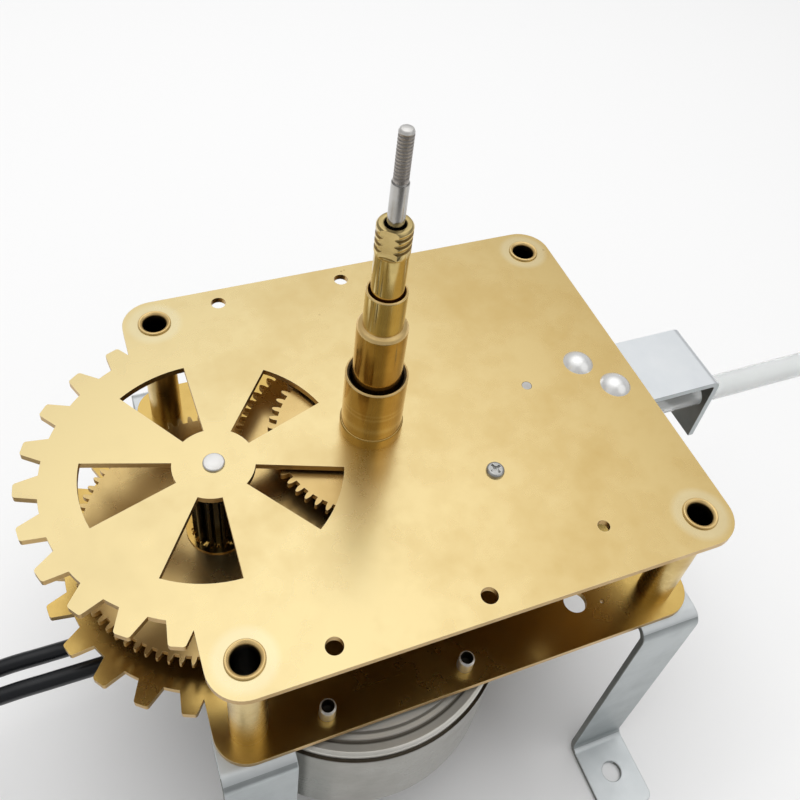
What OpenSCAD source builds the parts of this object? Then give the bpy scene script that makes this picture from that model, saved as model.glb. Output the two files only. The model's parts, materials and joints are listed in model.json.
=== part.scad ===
// Clock movement for large dials: two brass plates on four hollow pillars and four bent legs,
// a round motor below, and three hand shafts one inside the other above.
// Millimetres. The origin is the middle of the four foot holes, on the surface that the feet stand on.

/* [Plates and pillars] */
// Distance between the pillars, left to right
pillar_dx = 127; // [110:1:150]
// Distance between the pillars, front to back
pillar_dy = 110; // [104:1:130]
// Distance from a pillar's centre to the plate's edge, and radius of the plate's corners
plate_margin = 9.5; // [8:0.5:14]
// Thickness of each plate
plate_t = 2; // [1.5:0.1:2.6]
// Space between the plates
plate_gap = 40; // [38:1:60]
// Outer diameter of a pillar between the plates
pillar_d = 10; // [9:0.1:12]
// Bore through a pillar
pillar_bore_d = 7.2; // [5:0.1:7.4]
// Diameter of a pillar's neck in the plates
neck_d = 8.6; // [8:0.1:8.9]
// Height of a pillar's rolled rim
rim_h = 0.7; // [0.4:0.1:1.2]

/* [Lobe] */
// Distance from the left pillars to the middle of the lobe
lobe_inset = 5.5; // [0:0.5:10]
// Number of teeth that the lobe's full circle would have
lobe_teeth = 24; // [20:2:30]
// Radius of the lobe at its tooth tips
lobe_tip_r = 51; // [50:0.5:53]
// Radius of the lobe between its teeth
lobe_root_r = 45; // [44:0.5:46]
// Number of windows
window_count = 5; // [3:1:6]
// Inner radius of the windows
window_in_r = 11.2; // [9:0.2:14]
// Outer radius of the windows
window_out_r = 35.2; // [30:0.2:40]
// Half of the angle that a window covers
window_half = 16.8; // [10:0.2:24]

/* [Holes in the plates] */
// Diameter of the four holes along the long edges
edge_hole_d = 4.6; // [3:0.1:5.5]
// Distance of the edge holes from the middle line
edge_hole_y = 58.5; // [57:0.5:60]
// Distance from the hand shafts to the left edge holes
edge_hole_left = 30; // [28:0.5:32]
// Distance from the hand shafts to the right edge holes
edge_hole_right = 10.6; // [8:0.2:14]
// Diameter of the oil hole in the front plate
oil_hole_d = 3.5; // [2:0.1:5]
// Diameter of the sight hole in the rear plate
sight_hole_d = 7; // [4:0.2:9]
// Diameter of the pin hole in the rear plate
pin_hole_d = 1.3; // [1:0.1:3]

/* [Hand shafts] */
// Distance from the middle of the lobe to the hand shafts
shaft_dx = 45; // [43:0.5:47]
// Outer diameter of the centre tube's collar
centre_collar_d = 17.9; // [17.6:0.1:20]
// Outer diameter of the centre tube
centre_d = 17.1; // [16.6:0.1:17.5]
// Height of the centre tube above the front plate
centre_h = 23; // [16:0.5:28]
// Outer diameter of the hour tube's lower part
hour_low_d = 13.4; // [12.8:0.1:14]
// Outer diameter of the hour tube's upper part
hour_top_d = 10.6; // [10.4:0.1:11]
// Height of the hour tube's shoulder above the front plate
hour_shoulder_h = 42.3; // [32:0.1:46]
// Height of the hour tube above the front plate
hour_h = 54.1; // [50:0.1:60]
// Outer diameter of the minute tube
minute_d = 8.4; // [8.2:0.1:8.8]
// Outer diameter of the minute tube's thread
minute_thread_d = 8.8; // [8.4:0.1:8.9]
// Pitch of the minute tube's thread
minute_pitch = 2; // [1:0.25:2]
// Height of the minute tube above the front plate
minute_h = 75.2; // [68:0.1:80]
// Length of the minute tube's thread
minute_thread_l = 8.4; // [6:0.1:10]
// Distance between the two flats of the minute tube
minute_flats = 7.5; // [7:0.1:8]
// Diameter of the second shaft
second_d = 4.2; // [3.8:0.1:4.4]
// Outer diameter of the second shaft's thread
second_thread_d = 3.6; // [3.2:0.1:3.8]
// Pitch of the second shaft's thread
second_pitch = 0.9; // [0.5:0.05:1]
// Height of the second shaft's step above the front plate
second_step_h = 87.1; // [82:0.1:92]
// Height of the second shaft above the front plate
second_h = 100.7; // [96:0.1:110]

/* [Wheels] */
// Teeth of the intermediate wheel
intermediate_wheel_n = 80; // [70:10:90]
// Leaves of the second pinion
second_pinion_n = 8; // [8:1:9]
// Teeth of the minute wheel
minute_wheel_n = 72; // [66:6:78]
// Leaves of the long intermediate pinion
intermediate_pinion_n = 12; // [11:1:13]
// Teeth of the motion wheel
motion_wheel_n = 64; // [60:4:64]
// Leaves of the minute pinion
minute_pinion_n = 16; // [15:1:17]
// Teeth of the hour wheel
hour_wheel_n = 54; // [51:3:57]
// Leaves of the motion pinion
motion_pinion_n = 18; // [17:1:19]
// Leaves of the setting pinion
setting_pinion_n = 22; // [20:1:24]
// Thickness of every wheel
wheel_t = 2; // [1.5:0.1:2.2]
// Distance from the hand shafts to the motion post
motion_distance = 37.5; // [37:0.1:38]
// Direction from the hand shafts to the motion post
motion_angle = -42.2; // [-46:0.2:-40]

/* [Motor] */
// Diameter of the motor's can
motor_d = 90; // [84:1:92]
// Height of the motor's can
motor_can_h = 39.5; // [25:0.5:50]
// Wall of the motor's can
motor_wall = 1.2; // [0.8:0.1:2]
// Distance of the motor's centre to the left of the hand shafts
motor_left = 11; // [8:0.5:14]
// Distance that the motor's can reaches in front of the hand shafts
motor_reach = 73; // [71:0.5:75]
// Gap between the rear plate and the motor's cover
motor_gap = 3; // [2.6:0.1:4]
// Outer diameter of a motor stud
stud_d = 4.6; // [4:0.1:5]
// Height of a motor stud above the rear plate
stud_h = 5; // [3:0.1:7]
// Diameter of the motor's output shaft
output_d = 6; // [5:0.1:7]

/* [Legs] */
// Height from the floor to the rear plate
leg_h = 96; // [80:1:120]
// Width of a leg
leg_w = 20; // [18:0.5:22]
// Thickness of a leg
leg_t = 2; // [1.5:0.1:2.5]
// Distance from a pillar's centre to the outside of a leg
leg_out = 13; // [12:0.5:16]
// Length of a foot
foot_l = 25; // [20:1:34]
// Distance from a leg's outside to the hole in its foot
foot_hole_out = 12; // [9:0.5:14]
// Diameter of the hole in a foot
foot_hole_d = 7; // [4:0.1:9]
// Outer radius of the bends
bend_r = 4.5; // [3.5:0.5:6]

/* [Bracket and sleeve] */
// Width of the bracket
bracket_w = 24; // [22:0.5:28]
// Distance that the bracket reaches past the plate's edge
bracket_out = 27; // [20:1:34]
// Height of the bracket's hanging flange
bracket_h = 28; // [24:1:34]
// Distance of the bracket's middle in front of the hand shafts
bracket_front = 3; // [2:0.5:4]
// Diameter of a rivet's head
rivet_head_d = 9.4; // [8:0.1:10]
// Height of a rivet's head
rivet_head_h = 2.4; // [1.5:0.1:3]
// Diameter of a rivet's shank
rivet_d = 5; // [4:0.1:5.5]
// Outer diameter of the clear sleeve
sleeve_d = 8; // [7:0.1:9]
// Bore of the clear sleeve
sleeve_bore_d = 5.6; // [4:0.1:6.4]
// Length of the clear sleeve
sleeve_l = 92; // [60:1:120]

/* [Cables] */
// Diameter of each cable
cable_d = 4.8; // [4.4:0.1:5.2]
// Length of each tapered cable relief
relief_l = 22; // [20:1:26]
// Turns of each coil
coil_turns = 5.5; // [3.5:1:5.5]

/* [Hidden] */

$fn = 96;
// Radial gap of a fixed fit and of a running fit
fixed_gap = 0.02;
run_gap = 0.05;
// Gap that keeps two turning pieces apart
free_gap = 0.4;
// How much thinner the minute tube and the second shaft are where they run, below their seats for the hands
seat_step = 0.2;
// Way that the minute tube's flats face at rest
flats_turn = -130;
cut = 1;

// Heights of the plates
rear_z = leg_h;
rear_top = rear_z + plate_t;
front_z = rear_top + plate_gap;
front_top = front_z + plate_t;

// Places seen from above
lobe_x = -pillar_dx / 2 + lobe_inset;
shaft_x = lobe_x + shaft_dx;
shaft = [shaft_x, 0];
post = shaft + motion_distance * [cos(motion_angle), sin(motion_angle)];
motor = shaft + [-motor_left, motor_d / 2 - motor_reach];
edge_x = pillar_dx / 2 + plate_margin;
oil_hole = [35.6, -50];
sight_hole = [37.4, -51.5];
pin_hole = [45.4, -54];

// Heights of the wheels, from the front plate down
hour_wheel_z = front_z - 1 - wheel_t;
motion_wheel_z = hour_wheel_z - wheel_t - 2.2;
minute_wheel_z = motion_wheel_z - wheel_t - 1.8;
intermediate_wheel_z = rear_top + 8;
clutch_h = 1.2;

// Tooth sizes that follow from the distances
train_m = 2 * shaft_dx / (intermediate_wheel_n + second_pinion_n);
minute_m = 2 * shaft_dx / (minute_wheel_n + intermediate_pinion_n);
motion_m = 2 * motion_distance / (motion_wheel_n + minute_pinion_n);
hour_m = 2 * motion_distance / (hour_wheel_n + motion_pinion_n);
setting_x = shaft_x + minute_m * (minute_wheel_n + setting_pinion_n) / 2;

// Angle of one tooth's middle on each wheel, so that the pairs stand in mesh
intermediate_phase = 0;
second_phase = mate(0, intermediate_phase, intermediate_wheel_n, second_pinion_n);
long_phase = 0;
minute_phase = mate(0, long_phase, intermediate_pinion_n, minute_wheel_n);
setting_phase = mate(0, minute_phase, minute_wheel_n, setting_pinion_n);
minute_pinion_phase = 0;
motion_phase = mate(motion_angle, minute_pinion_phase, minute_pinion_n, motion_wheel_n);
motion_pinion_phase = 0;
hour_phase = mate(motion_angle + 180, motion_pinion_phase, motion_pinion_n, hour_wheel_n);

// Parts of a tooth, in shares of its size
addendum = 0.95;
dedendum = 1.3;
tooth_share = 0.4;

// Radii of the shafts and tubes
arbor_r = 2.9;
setting_r = 2;
setting_pivot_r = 1.5;
post_r = 2.5;
post_head_r = 4;
minute_r = minute_d / 2;
minute_low_r = minute_r - seat_step;
second_r = second_d / 2;
second_low_r = second_r - seat_step;
hour_low_r = hour_low_d / 2;
centre_bore_r = hour_low_r + 0.75;
hour_bore_r = minute_r + 0.45;
minute_bore_r = second_r + 0.45;
land_l = 8;

// Motor sizes
cover_top = rear_z - motor_gap;
cover_h = 3.4;
can_top = cover_top - cover_h;
can_z = can_top - motor_can_h;
motor_r = motor_d / 2;
stud_spread = [(edge_hole_left + edge_hole_right) / 2, 30.5];
bush_r = output_d / 2 + 1.5;
bush_low = can_top - 2;
gear_unit_h = 13;
unit_shaft_low = can_top - 8;
rotor_shaft_r = 1.5;
rotor_shaft_in_unit = 5;
rotor_hub_r = 5;
rotor_low = motor_wall + 3.5;
stator_z = can_z + 5.2;
stator_h = can_top - gear_unit_h - 1 - stator_z;
stator_in_r = 22;
stator_t = 1.6;
coupling_z = rear_top + 1;
coupling_h = 5.6;
coupling_r = 5;

// Bracket, sleeve and cable places
bracket_x = edge_x + bracket_out;
bracket_tab = 24;
bracket_in_x = edge_x - bracket_tab;
bracket_t = 2;
sleeve_y = -9;
sleeve_out = 50;
sleeve_z = front_top - 14;
rivets = [[edge_x - 15.7, 3.7], [edge_x - 8.7, -7.5]];
cable_r = cable_d / 2;
cable_y = [-13, -21];
cable_z = cover_top - 7;
block_x = motor[0] - motor_r - 5;
relief_x = block_x - relief_l;

// Routes of the two cables: out of the relief, through the air and down to the floor
upper_run = [[relief_x, -13, 86], [-104, -13, 86], [-113, -13, 86], [-122, -13, 86], [-131.5, -13, 84.2],
    [-140, -13, 79], [-145.5, -13, 72.5], [-148.5, -13, 65], [-151, -13, 56], [-153.5, -13, 46.5],
    [-156, -13, 37], [-158.5, -13, 28.5], [-161.5, -13, 20], [-166, -13, 12.5], [-172, -13, 7],
    [-179, -13, 3.9], [-186, -13, 2.6], [-193, -13, cable_r]];
lower_run = [[relief_x, -21, 86], [-104, -21, 86], [-113, -21, 86], [-121, -21, 86], [-130.5, -21, 84.6],
    [-139.5, -21.3, 80], [-146, -21.7, 73.5], [-150, -22.2, 66], [-153, -22.8, 57], [-155.5, -23.3, 47.5],
    [-158, -23.7, 38], [-160.5, -24, 29], [-164, -24, 20.5], [-169, -24, 13], [-175.5, -24, 7.4],
    [-183, -24, 4], [-190, -24, 2.6], [-197, -24, cable_r]];
coil_gap = 1.1;
coil_pitch = cable_d + coil_gap;
coil_in_r = 19.5;
coil_rings = 24;
coil_sides = 6;
lead_l = 12;
ferrule_l = 7;

// Angle of a tooth's middle on a second wheel, seen in the given direction from the first
function mate(direction, phase, first_n, second_n) =
    direction + 180 + (direction - phase) * first_n / second_n + 180 / second_n;

function on_circle(r, a) = [r * cos(a), r * sin(a)];

// One tooth of a wheel, from its left root to its right root
function tooth(n, m, middle) =
    let (pitch_r = m * n / 2, half = 360 / n * tooth_share / 2,
        root_r = pitch_r - dedendum * m, low = half + 360 / n * 0.045)
    [for (s = [[root_r, -low], [pitch_r - 0.35 * m, -half - 360 / n * 0.03], [pitch_r, -half],
        [pitch_r + 0.5 * addendum * m, -half * 0.78], [pitch_r + addendum * m, -half * 0.42],
        [pitch_r + addendum * m, half * 0.42], [pitch_r + 0.5 * addendum * m, half * 0.78],
        [pitch_r, half], [pitch_r - 0.35 * m, half + 360 / n * 0.03], [root_r, low]])
        on_circle(s[0], middle + s[1])];

module toothed(n, m, phase, h) {
    linear_extrude(h)
        polygon([for (i = [0:n - 1]) each tooth(n, m, phase + i * 360 / n)]);
}

module at(place, z = 0) {
    translate([place[0], place[1], z]) children();
}

// A ring of the given radii
module ring(outer_r, inner_r, h) {
    difference() {
        cylinder(r = outer_r, h = h);
        translate([0, 0, -cut]) cylinder(r = inner_r, h = h + 2 * cut);
    }
}

// Points of an arc of radius r about centre c, from angle a to angle b
function arc(c, r, a, b, steps = 6) = [for (i = [0:steps]) c + on_circle(r, a + (b - a) * i / steps)];

// Plates

module plate_corners() {
    for (x = [-1, 1], y = [-1, 1])
        translate([x * pillar_dx / 2, y * pillar_dy / 2]) children();
}

// One coarse tooth of the lobe, with rounded tip corners
module lobe_tooth() {
    tip_half = 2.5;
    root_half = 4.7;
    corner = 0.9;
    y_tip = lobe_tip_r * sin(tip_half);
    y_root = lobe_root_r * sin(root_half);
    polygon(concat(
        [[lobe_root_r - 3, -y_root - 0.6], [lobe_root_r - 0.3, -y_root]],
        arc([lobe_tip_r - corner, -y_tip + corner], corner, -70, 0, 4),
        arc([lobe_tip_r - corner, y_tip - corner], corner, 0, 70, 4),
        [[lobe_root_r - 0.3, y_root], [lobe_root_r - 3, y_root + 0.6]]));
}

module plate_outline() {
    square([pillar_dx + 2 * plate_margin, pillar_dy], center = true);
    square([pillar_dx, pillar_dy + 2 * plate_margin], center = true);
    plate_corners() circle(r = plate_margin);
    translate([lobe_x, 0]) {
        circle(r = lobe_root_r);
        for (i = [0:lobe_teeth - 1]) rotate((i + 0.5) * 360 / lobe_teeth) lobe_tooth();
    }
}

// A window between two radii and two straight sides that point at the lobe's middle
module window() {
    side = on_circle(1, window_half);
    reach = window_out_r / cos(window_half) + cut;
    intersection() {
        difference() {
            circle(r = window_out_r);
            circle(r = window_in_r);
        }
        polygon([[0, 0], reach * [side[0], -side[1]], reach * side]);
    }
}

module edge_holes() {
    for (x = [-edge_hole_left, edge_hole_right], y = [-1, 1])
        translate([shaft_x + x, y * edge_hole_y]) circle(d = edge_hole_d);
}

module front_plate() {
    color("goldenrod") translate([0, 0, front_z]) linear_extrude(plate_t) difference() {
        plate_outline();
        plate_corners() circle(d = neck_d + 2 * fixed_gap);
        edge_holes();
        translate([lobe_x, 0]) {
            circle(r = arbor_r + run_gap);
            for (i = [0:window_count - 1]) rotate(180 + i * 360 / window_count) window();
        }
        translate(shaft) circle(r = centre_bore_r + 1 + fixed_gap);
        translate(post) circle(r = 1.5 + fixed_gap);
        translate([setting_x, 0]) circle(r = setting_pivot_r + run_gap);
        translate(oil_hole) circle(d = oil_hole_d);
        for (place = rivets) translate(place) circle(d = rivet_d + 2 * fixed_gap);
    }
}

module rear_plate() {
    color("darkgoldenrod") translate([0, 0, rear_z]) linear_extrude(plate_t) difference() {
        plate_outline();
        plate_corners() circle(d = neck_d + 2 * fixed_gap);
        translate([lobe_x, 0]) circle(r = arbor_r + run_gap);
        translate(shaft) circle(r = coupling_r + 1);
        translate([setting_x, 0]) circle(r = setting_r + run_gap);
        translate(sight_hole) circle(d = sight_hole_d);
        translate(pin_hole) circle(d = pin_hole_d);
        stud_places() circle(d = stud_d + 2 * fixed_gap);
    }
}

// Pillars

// A hollow pillar: shoulders between the plates, necks through them, rolled rims outside
module pillar(place) {
    bore_r = pillar_bore_d / 2;
    neck_r = neck_d / 2;
    body_r = pillar_d / 2;
    low = rear_z - leg_t;
    rim_r = body_r - 0.05;
    color("gold") at(place) rotate_extrude() polygon(concat(
        [[bore_r, low - rim_h]],
        arc([rim_r - rim_h / 2, low - rim_h / 2], rim_h / 2, -90, 0, 4),
        [[rim_r, low], [neck_r, low], [neck_r, rear_top], [body_r, rear_top], [body_r, front_z],
            [neck_r, front_z], [neck_r, front_top], [rim_r, front_top]],
        arc([rim_r - rim_h / 2, front_top + rim_h / 2], rim_h / 2, 0, 90, 4),
        [[bore_r + 0.3, front_top + rim_h], [bore_r, front_top + rim_h - 0.3]]));
}

function pillar_place(side, end) = [side * pillar_dx / 2, end * pillar_dy / 2];

// Legs

// Side view of a leg, from the pillar outwards: flange, upright and foot
module leg_side() {
    inner_r = bend_r - leg_t;
    out = leg_out;
    polygon(concat(
        [[-leg_w / 2, rear_z - leg_t], [out - bend_r, rear_z - leg_t]],
        arc([out - bend_r, rear_z - bend_r], inner_r, 90, 0),
        arc([out + inner_r, bend_r], bend_r, 180, 270),
        [[out + foot_l, 0], [out + foot_l, leg_t], [out + inner_r, leg_t]],
        arc([out + inner_r, bend_r], inner_r, 270, 180),
        arc([out - bend_r, rear_z - bend_r], bend_r, 0, 90),
        [[-leg_w / 2, rear_z]]));
}

// Plan of a leg: round at the pillar, rounded corners at the foot
module leg_plan() {
    corner = 3;
    half = leg_w / 2;
    tip = leg_out + foot_l;
    circle(r = half);
    translate([0, -half]) square([tip - corner, leg_w]);
    translate([0, corner - half]) square([tip, leg_w - 2 * corner]);
    for (s = [-1, 1]) translate([tip - corner, s * (half - corner)]) circle(r = corner);
}

module leg(side, end) {
    color("lightsteelblue") at(pillar_place(side, end)) rotate([0, 0, end * 90]) difference() {
        intersection() {
            translate([0, leg_w / 2, 0]) rotate([90, 0, 0]) linear_extrude(leg_w) leg_side();
            linear_extrude(rear_z + cut) leg_plan();
        }
        translate([0, 0, rear_z - leg_t - cut]) cylinder(r = neck_d / 2 + fixed_gap, h = leg_t + 2 * cut);
        translate([leg_out + foot_hole_out, 0, -cut]) cylinder(d = foot_hole_d, h = leg_t + 2 * cut);
    }
}

// Tubes and shafts

// The bush that stands on the front plate and carries the hour tube
module centre_tube() {
    land_r = hour_low_r + run_gap;
    r = centre_d / 2;
    foot_r = centre_bore_r + 1;
    color("peru") at(shaft, front_top) rotate_extrude() polygon([
        [land_r, -plate_t - 0.6], [foot_r, -plate_t - 0.6], [foot_r, 0], [centre_collar_d / 2, 0],
        [centre_collar_d / 2, 3.4], [centre_collar_d / 2 - 0.2, 3.8], [r, 3.8], [r, centre_h - 0.3],
        [r - 0.3, centre_h], [centre_bore_r + 0.2, centre_h], [centre_bore_r, centre_h - 0.2],
        [centre_bore_r, land_l + 4], [land_r, land_l + 3.4]]);
}

module hour_tube() {
    top_r = hour_top_d / 2;
    land_r = minute_low_r + run_gap;
    bottom = hour_wheel_z - front_top - 0.4;
    color("darkgoldenrod") at(shaft, front_top) rotate_extrude() polygon([
        [land_r, bottom], [hour_low_r, bottom], [hour_low_r, hour_shoulder_h - 1.2],
        [hour_low_r - 0.5, hour_shoulder_h - 0.4], [top_r, hour_shoulder_h], [top_r, hour_h - 0.3],
        [top_r - 0.3, hour_h], [hour_bore_r + 0.1, hour_h], [hour_bore_r, hour_h - 0.1],
        [hour_bore_r, hour_shoulder_h], [land_r, hour_shoulder_h - 0.5],
        [land_r, hour_shoulder_h - land_l], [hour_bore_r, hour_shoulder_h - land_l - 0.5],
        [hour_bore_r, bottom + land_l + 0.5], [land_r, bottom + land_l]]);
}

// Points of a thread's crests and roots, from the bottom up
function thread(r, depth, pitch, from, to) = [for (i = [0:floor((to - from) / pitch) - 1])
    each [[r - depth, from + i * pitch + 0.1 * pitch], [r, from + (i + 0.4) * pitch],
        [r, from + (i + 0.65) * pitch], [r - depth, from + (i + 0.95) * pitch]]];

module minute_tube() {
    thread_r = minute_thread_d / 2;
    land_r = second_low_r + run_gap;
    seat = hour_h + 0.3;
    bottom = minute_wheel_z - front_top - 1;
    color("burlywood") at(shaft, front_top) intersection() {
        rotate_extrude() polygon(concat(
            [[land_r, bottom], [minute_low_r, bottom], [minute_low_r, seat], [minute_r, seat],
                [minute_r, minute_h - minute_thread_l]],
            thread(thread_r, 0.6, minute_pitch, minute_h - minute_thread_l, minute_h - 0.4),
            [[thread_r - 0.7, minute_h - 0.4], [thread_r - 0.9, minute_h], [minute_bore_r + 0.2, minute_h],
                [minute_bore_r, minute_h - 0.2], [minute_bore_r, minute_h - 3], [land_r, minute_h - 3.5],
                [land_r, minute_h - 3.5 - land_l], [minute_bore_r, minute_h - 4 - land_l],
                [minute_bore_r, bottom + land_l + 0.5], [land_r, bottom + land_l]]));
        union() {
            translate([0, 0, bottom - cut]) cylinder(r = thread_r + cut, h = minute_h - minute_thread_l - bottom + cut);
            rotate([0, 0, flats_turn]) translate([-minute_flats / 2, -thread_r - cut, bottom])
                cube([minute_flats, 2 * (thread_r + cut), minute_h - bottom + cut]);
        }
    }
}

module second_shaft() {
    thread_r = second_thread_d / 2;
    bottom = coupling_z + coupling_h / 2 - front_top;
    seat = minute_h + 0.3;
    color("silver") at(shaft, front_top) rotate_extrude() polygon(concat(
        [[0, bottom], [second_low_r, bottom], [second_low_r, seat], [second_r, seat],
            [second_r, second_step_h - 0.3], [second_r - 0.3, second_step_h]],
        thread(thread_r, 0.3, second_pitch, second_step_h + 0.1, second_h - 0.5),
        [[thread_r - 0.3, second_h - 0.5], [thread_r - 0.7, second_h], [0, second_h]]));
}

module intermediate_arbor() {
    color("silver") at([lobe_x, 0], rear_z - 0.5) rotate_extrude() polygon([
        [0, 0], [arbor_r - 0.3, 0], [arbor_r, 0.3], [arbor_r, front_top - rear_z + 0.4],
        [arbor_r - 0.3, front_top - rear_z + 0.7], [0, front_top - rear_z + 0.7]]);
}

// Wheels

// A flat wheel with a hub below it and a bore
module wheel(n, m, phase, bore_r, hub_r, hub_h) {
    difference() {
        union() {
            toothed(n, m, phase, wheel_t);
            translate([0, 0, -hub_h]) cylinder(r = hub_r, h = hub_h + wheel_t / 2);
        }
        translate([0, 0, -hub_h - cut]) cylinder(r = bore_r, h = hub_h + wheel_t + 2 * cut);
    }
}

module pinion(n, m, phase, bore_r, h) {
    difference() {
        toothed(n, m, phase, h);
        translate([0, 0, -cut]) cylinder(r = bore_r, h = h + 2 * cut);
    }
}

module hour_wheel() {
    color("gold") at(shaft, hour_wheel_z)
        wheel(hour_wheel_n, hour_m, hour_phase, hour_low_r + fixed_gap, hour_low_r + 2, 0.4);
}

module minute_wheel() {
    color("goldenrod") at(shaft, minute_wheel_z)
        wheel(minute_wheel_n, minute_m, minute_phase, minute_low_r + fixed_gap, 7.5, 1);
}

module minute_pinion() {
    low = minute_wheel_z + wheel_t;
    color("silver") at(shaft, low)
        pinion(minute_pinion_n, motion_m, minute_pinion_phase, minute_low_r + fixed_gap, hour_wheel_z - 1 - low);
}

module second_pinion() {
    h = wheel_t + 1.4;
    color("dimgray") at(shaft, intermediate_wheel_z - 0.7)
        pinion(second_pinion_n, train_m, second_phase, second_low_r + fixed_gap, h);
}

module intermediate_wheel() {
    color("goldenrod") at([lobe_x, 0], intermediate_wheel_z)
        wheel(intermediate_wheel_n, train_m, intermediate_phase, arbor_r + fixed_gap, 8, 3);
}

// The sprung washer through which the wheel drives its pinion, so that the hands can be set
module clutch_washer() {
    inner_r = arbor_r + fixed_gap;
    color("silver") at([lobe_x, 0], intermediate_wheel_z + wheel_t) rotate_extrude() polygon([
        [inner_r, clutch_h - 0.5], [6, clutch_h - 0.5], [8, 0], [9.5, 0], [9.5, 0.5], [8.2, 0.5],
        [6.2, clutch_h], [inner_r, clutch_h]]);
}

module intermediate_pinion() {
    low = intermediate_wheel_z + wheel_t + clutch_h;
    high = minute_wheel_z + wheel_t + 2;
    color("dimgray") at([lobe_x, 0], low)
        pinion(intermediate_pinion_n, minute_m, long_phase, arbor_r + fixed_gap, high - low);
}

module motion_post() {
    low = motion_wheel_z - 1.1;
    color("silver") at(post) difference() {
        union() {
            translate([0, 0, low]) cylinder(r = post_head_r, h = 0.8);
            translate([0, 0, low]) cylinder(r = post_r, h = front_z - low);
        }
        translate([0, 0, front_z - 5.5]) cylinder(r = 1.5 + fixed_gap, h = 5.5 + cut);
    }
}

// Pan head screw with a cross recess
module post_screw() {
    head_r = 2.6;
    head_h = 1.2;
    recess_z = 0.35;
    color("lightgray") at(post, front_top) difference() {
        union() {
            translate([0, 0, -plate_t - 5]) cylinder(r = 1.5, h = plate_t + 5.2);
            rotate_extrude() polygon(concat([[0, 0], [head_r, 0]],
                arc([head_r - head_h * 0.7, head_h * 0.3], head_h * 0.7, 0, 90, 5), [[0, head_h]]));
        }
        for (a = [0, 90]) rotate([0, 0, a + 20]) translate([-1.7, -0.4, recess_z]) cube([3.4, 0.8, head_h]);
        translate([0, 0, recess_z]) cylinder(r = 0.9, h = head_h);
    }
}

module motion_wheel() {
    color("goldenrod") at(post, motion_wheel_z) difference() {
        toothed(motion_wheel_n, motion_m, motion_phase, wheel_t);
        translate([0, 0, -cut]) cylinder(r = post_r + run_gap, h = wheel_t + 2 * cut);
    }
}

module motion_pinion() {
    low = motion_wheel_z + wheel_t;
    color("silver") at(post, low)
        pinion(motion_pinion_n, hour_m, motion_pinion_phase, post_r + run_gap, front_z - free_gap - low);
}

// The arbor that turns the minute wheel by hand, with a screwdriver slot at its lower end
module setting_arbor() {
    low = rear_z - 8;
    color("silver") at([setting_x, 0], low) difference() {
        rotate_extrude() polygon([
            [0, 0], [setting_r + 0.8, 0], [setting_r + 1, 0.3], [setting_r + 1, 6], [setting_r, 6.6],
            [setting_r, front_z - low - 0.3], [setting_pivot_r, front_z - low - 0.3],
            [setting_pivot_r, front_top - low], [0, front_top - low]]);
        translate([-setting_r - 2, -0.5, -cut]) cube([2 * setting_r + 4, 1, cut + 1.6]);
    }
}

module setting_pinion() {
    h = wheel_t + 1;
    color("silver") at([setting_x, 0], minute_wheel_z - 0.5)
        pinion(setting_pinion_n, minute_m, setting_phase, setting_r + fixed_gap, h);
}

// Motor

module stud_places() {
    for (x = [-1, 1], y = [-1, 1])
        translate([shaft_x + (edge_hole_right - edge_hole_left) / 2 + x * stud_spread[0],
            motor[1] + y * stud_spread[1]]) children();
}

// Hollow ended studs that hold the motor to the rear plate
module motor_studs() {
    r = stud_d / 2;
    low = cover_top - rear_top;
    color("lightgray") translate([0, 0, rear_top]) stud_places() rotate_extrude() polygon([
        [0, low], [r, low], [r, stud_h - 0.5], [r - 0.4, stud_h], [r - 0.7, stud_h],
        [r - 0.7, stud_h - 3.5], [0, stud_h - 4]]);
}

// The stepped cover with its rounded rim
module motor_cover() {
    bead = 1.3;
    color("silver") at(motor) difference() {
        translate([0, 0, cover_top]) rotate_extrude() polygon(concat(
            [[0, 0], [motor_r - 7, 0], [motor_r - 6.6, -0.4], [motor_r - 6.4, -1],
                [motor_r - 5, -1], [motor_r - 4.7, -1.3], [motor_r - 4.5, -2]],
            arc([motor_r - 0.9 - bead, -2 - bead * 0.2], bead, 80, 0),
            [[motor_r - 0.9, -cover_h], [0, -cover_h]]));
        translate([shaft_x - motor[0], -motor[1], cover_top - cover_h - cut])
            cylinder(r = bush_r + fixed_gap, h = cover_h + 2 * cut);
    }
}

// The cup of the motor, with the boss that the rotor's shaft turns in
module motor_can() {
    round_r = 5;
    inner = motor_r - motor_wall;
    color("darkgray") at(motor, can_z) rotate_extrude() polygon(concat(
        [[0, 0]],
        arc([motor_r - round_r, round_r], round_r, -90, 0, 8),
        [[motor_r, can_top - can_z], [inner, can_top - can_z]],
        arc([inner - round_r + motor_wall, round_r], round_r - motor_wall, 0, -90, 8),
        [[4, motor_wall], [4, rotor_low], [rotor_shaft_r + run_gap, rotor_low],
            [rotor_shaft_r + run_gap, motor_wall + 0.5], [0, motor_wall + 0.5]]));
}

module motor_bush() {
    color("darkgoldenrod") at(shaft, bush_low)
        ring(bush_r, output_d / 2 + run_gap, cover_top + 0.6 - bush_low);
}

// The closed unit of reduction gears under the cover, bored for the two shafts
module motor_gear_unit() {
    low = can_top - gear_unit_h;
    color("gray") difference() {
        at(motor, low) cylinder(r = motor_r - motor_wall - 1.5, h = gear_unit_h);
        at(shaft, unit_shaft_low) cylinder(r = output_d / 2 + run_gap, h = gear_unit_h);
        at(shaft, bush_low - fixed_gap) cylinder(r = bush_r + fixed_gap, h = gear_unit_h);
        at(motor, low - cut) cylinder(r = rotor_shaft_r + run_gap, h = rotor_shaft_in_unit + cut);
        at(motor, low - cut) cylinder(r = rotor_hub_r, h = 1 + cut);
    }
}

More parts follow.
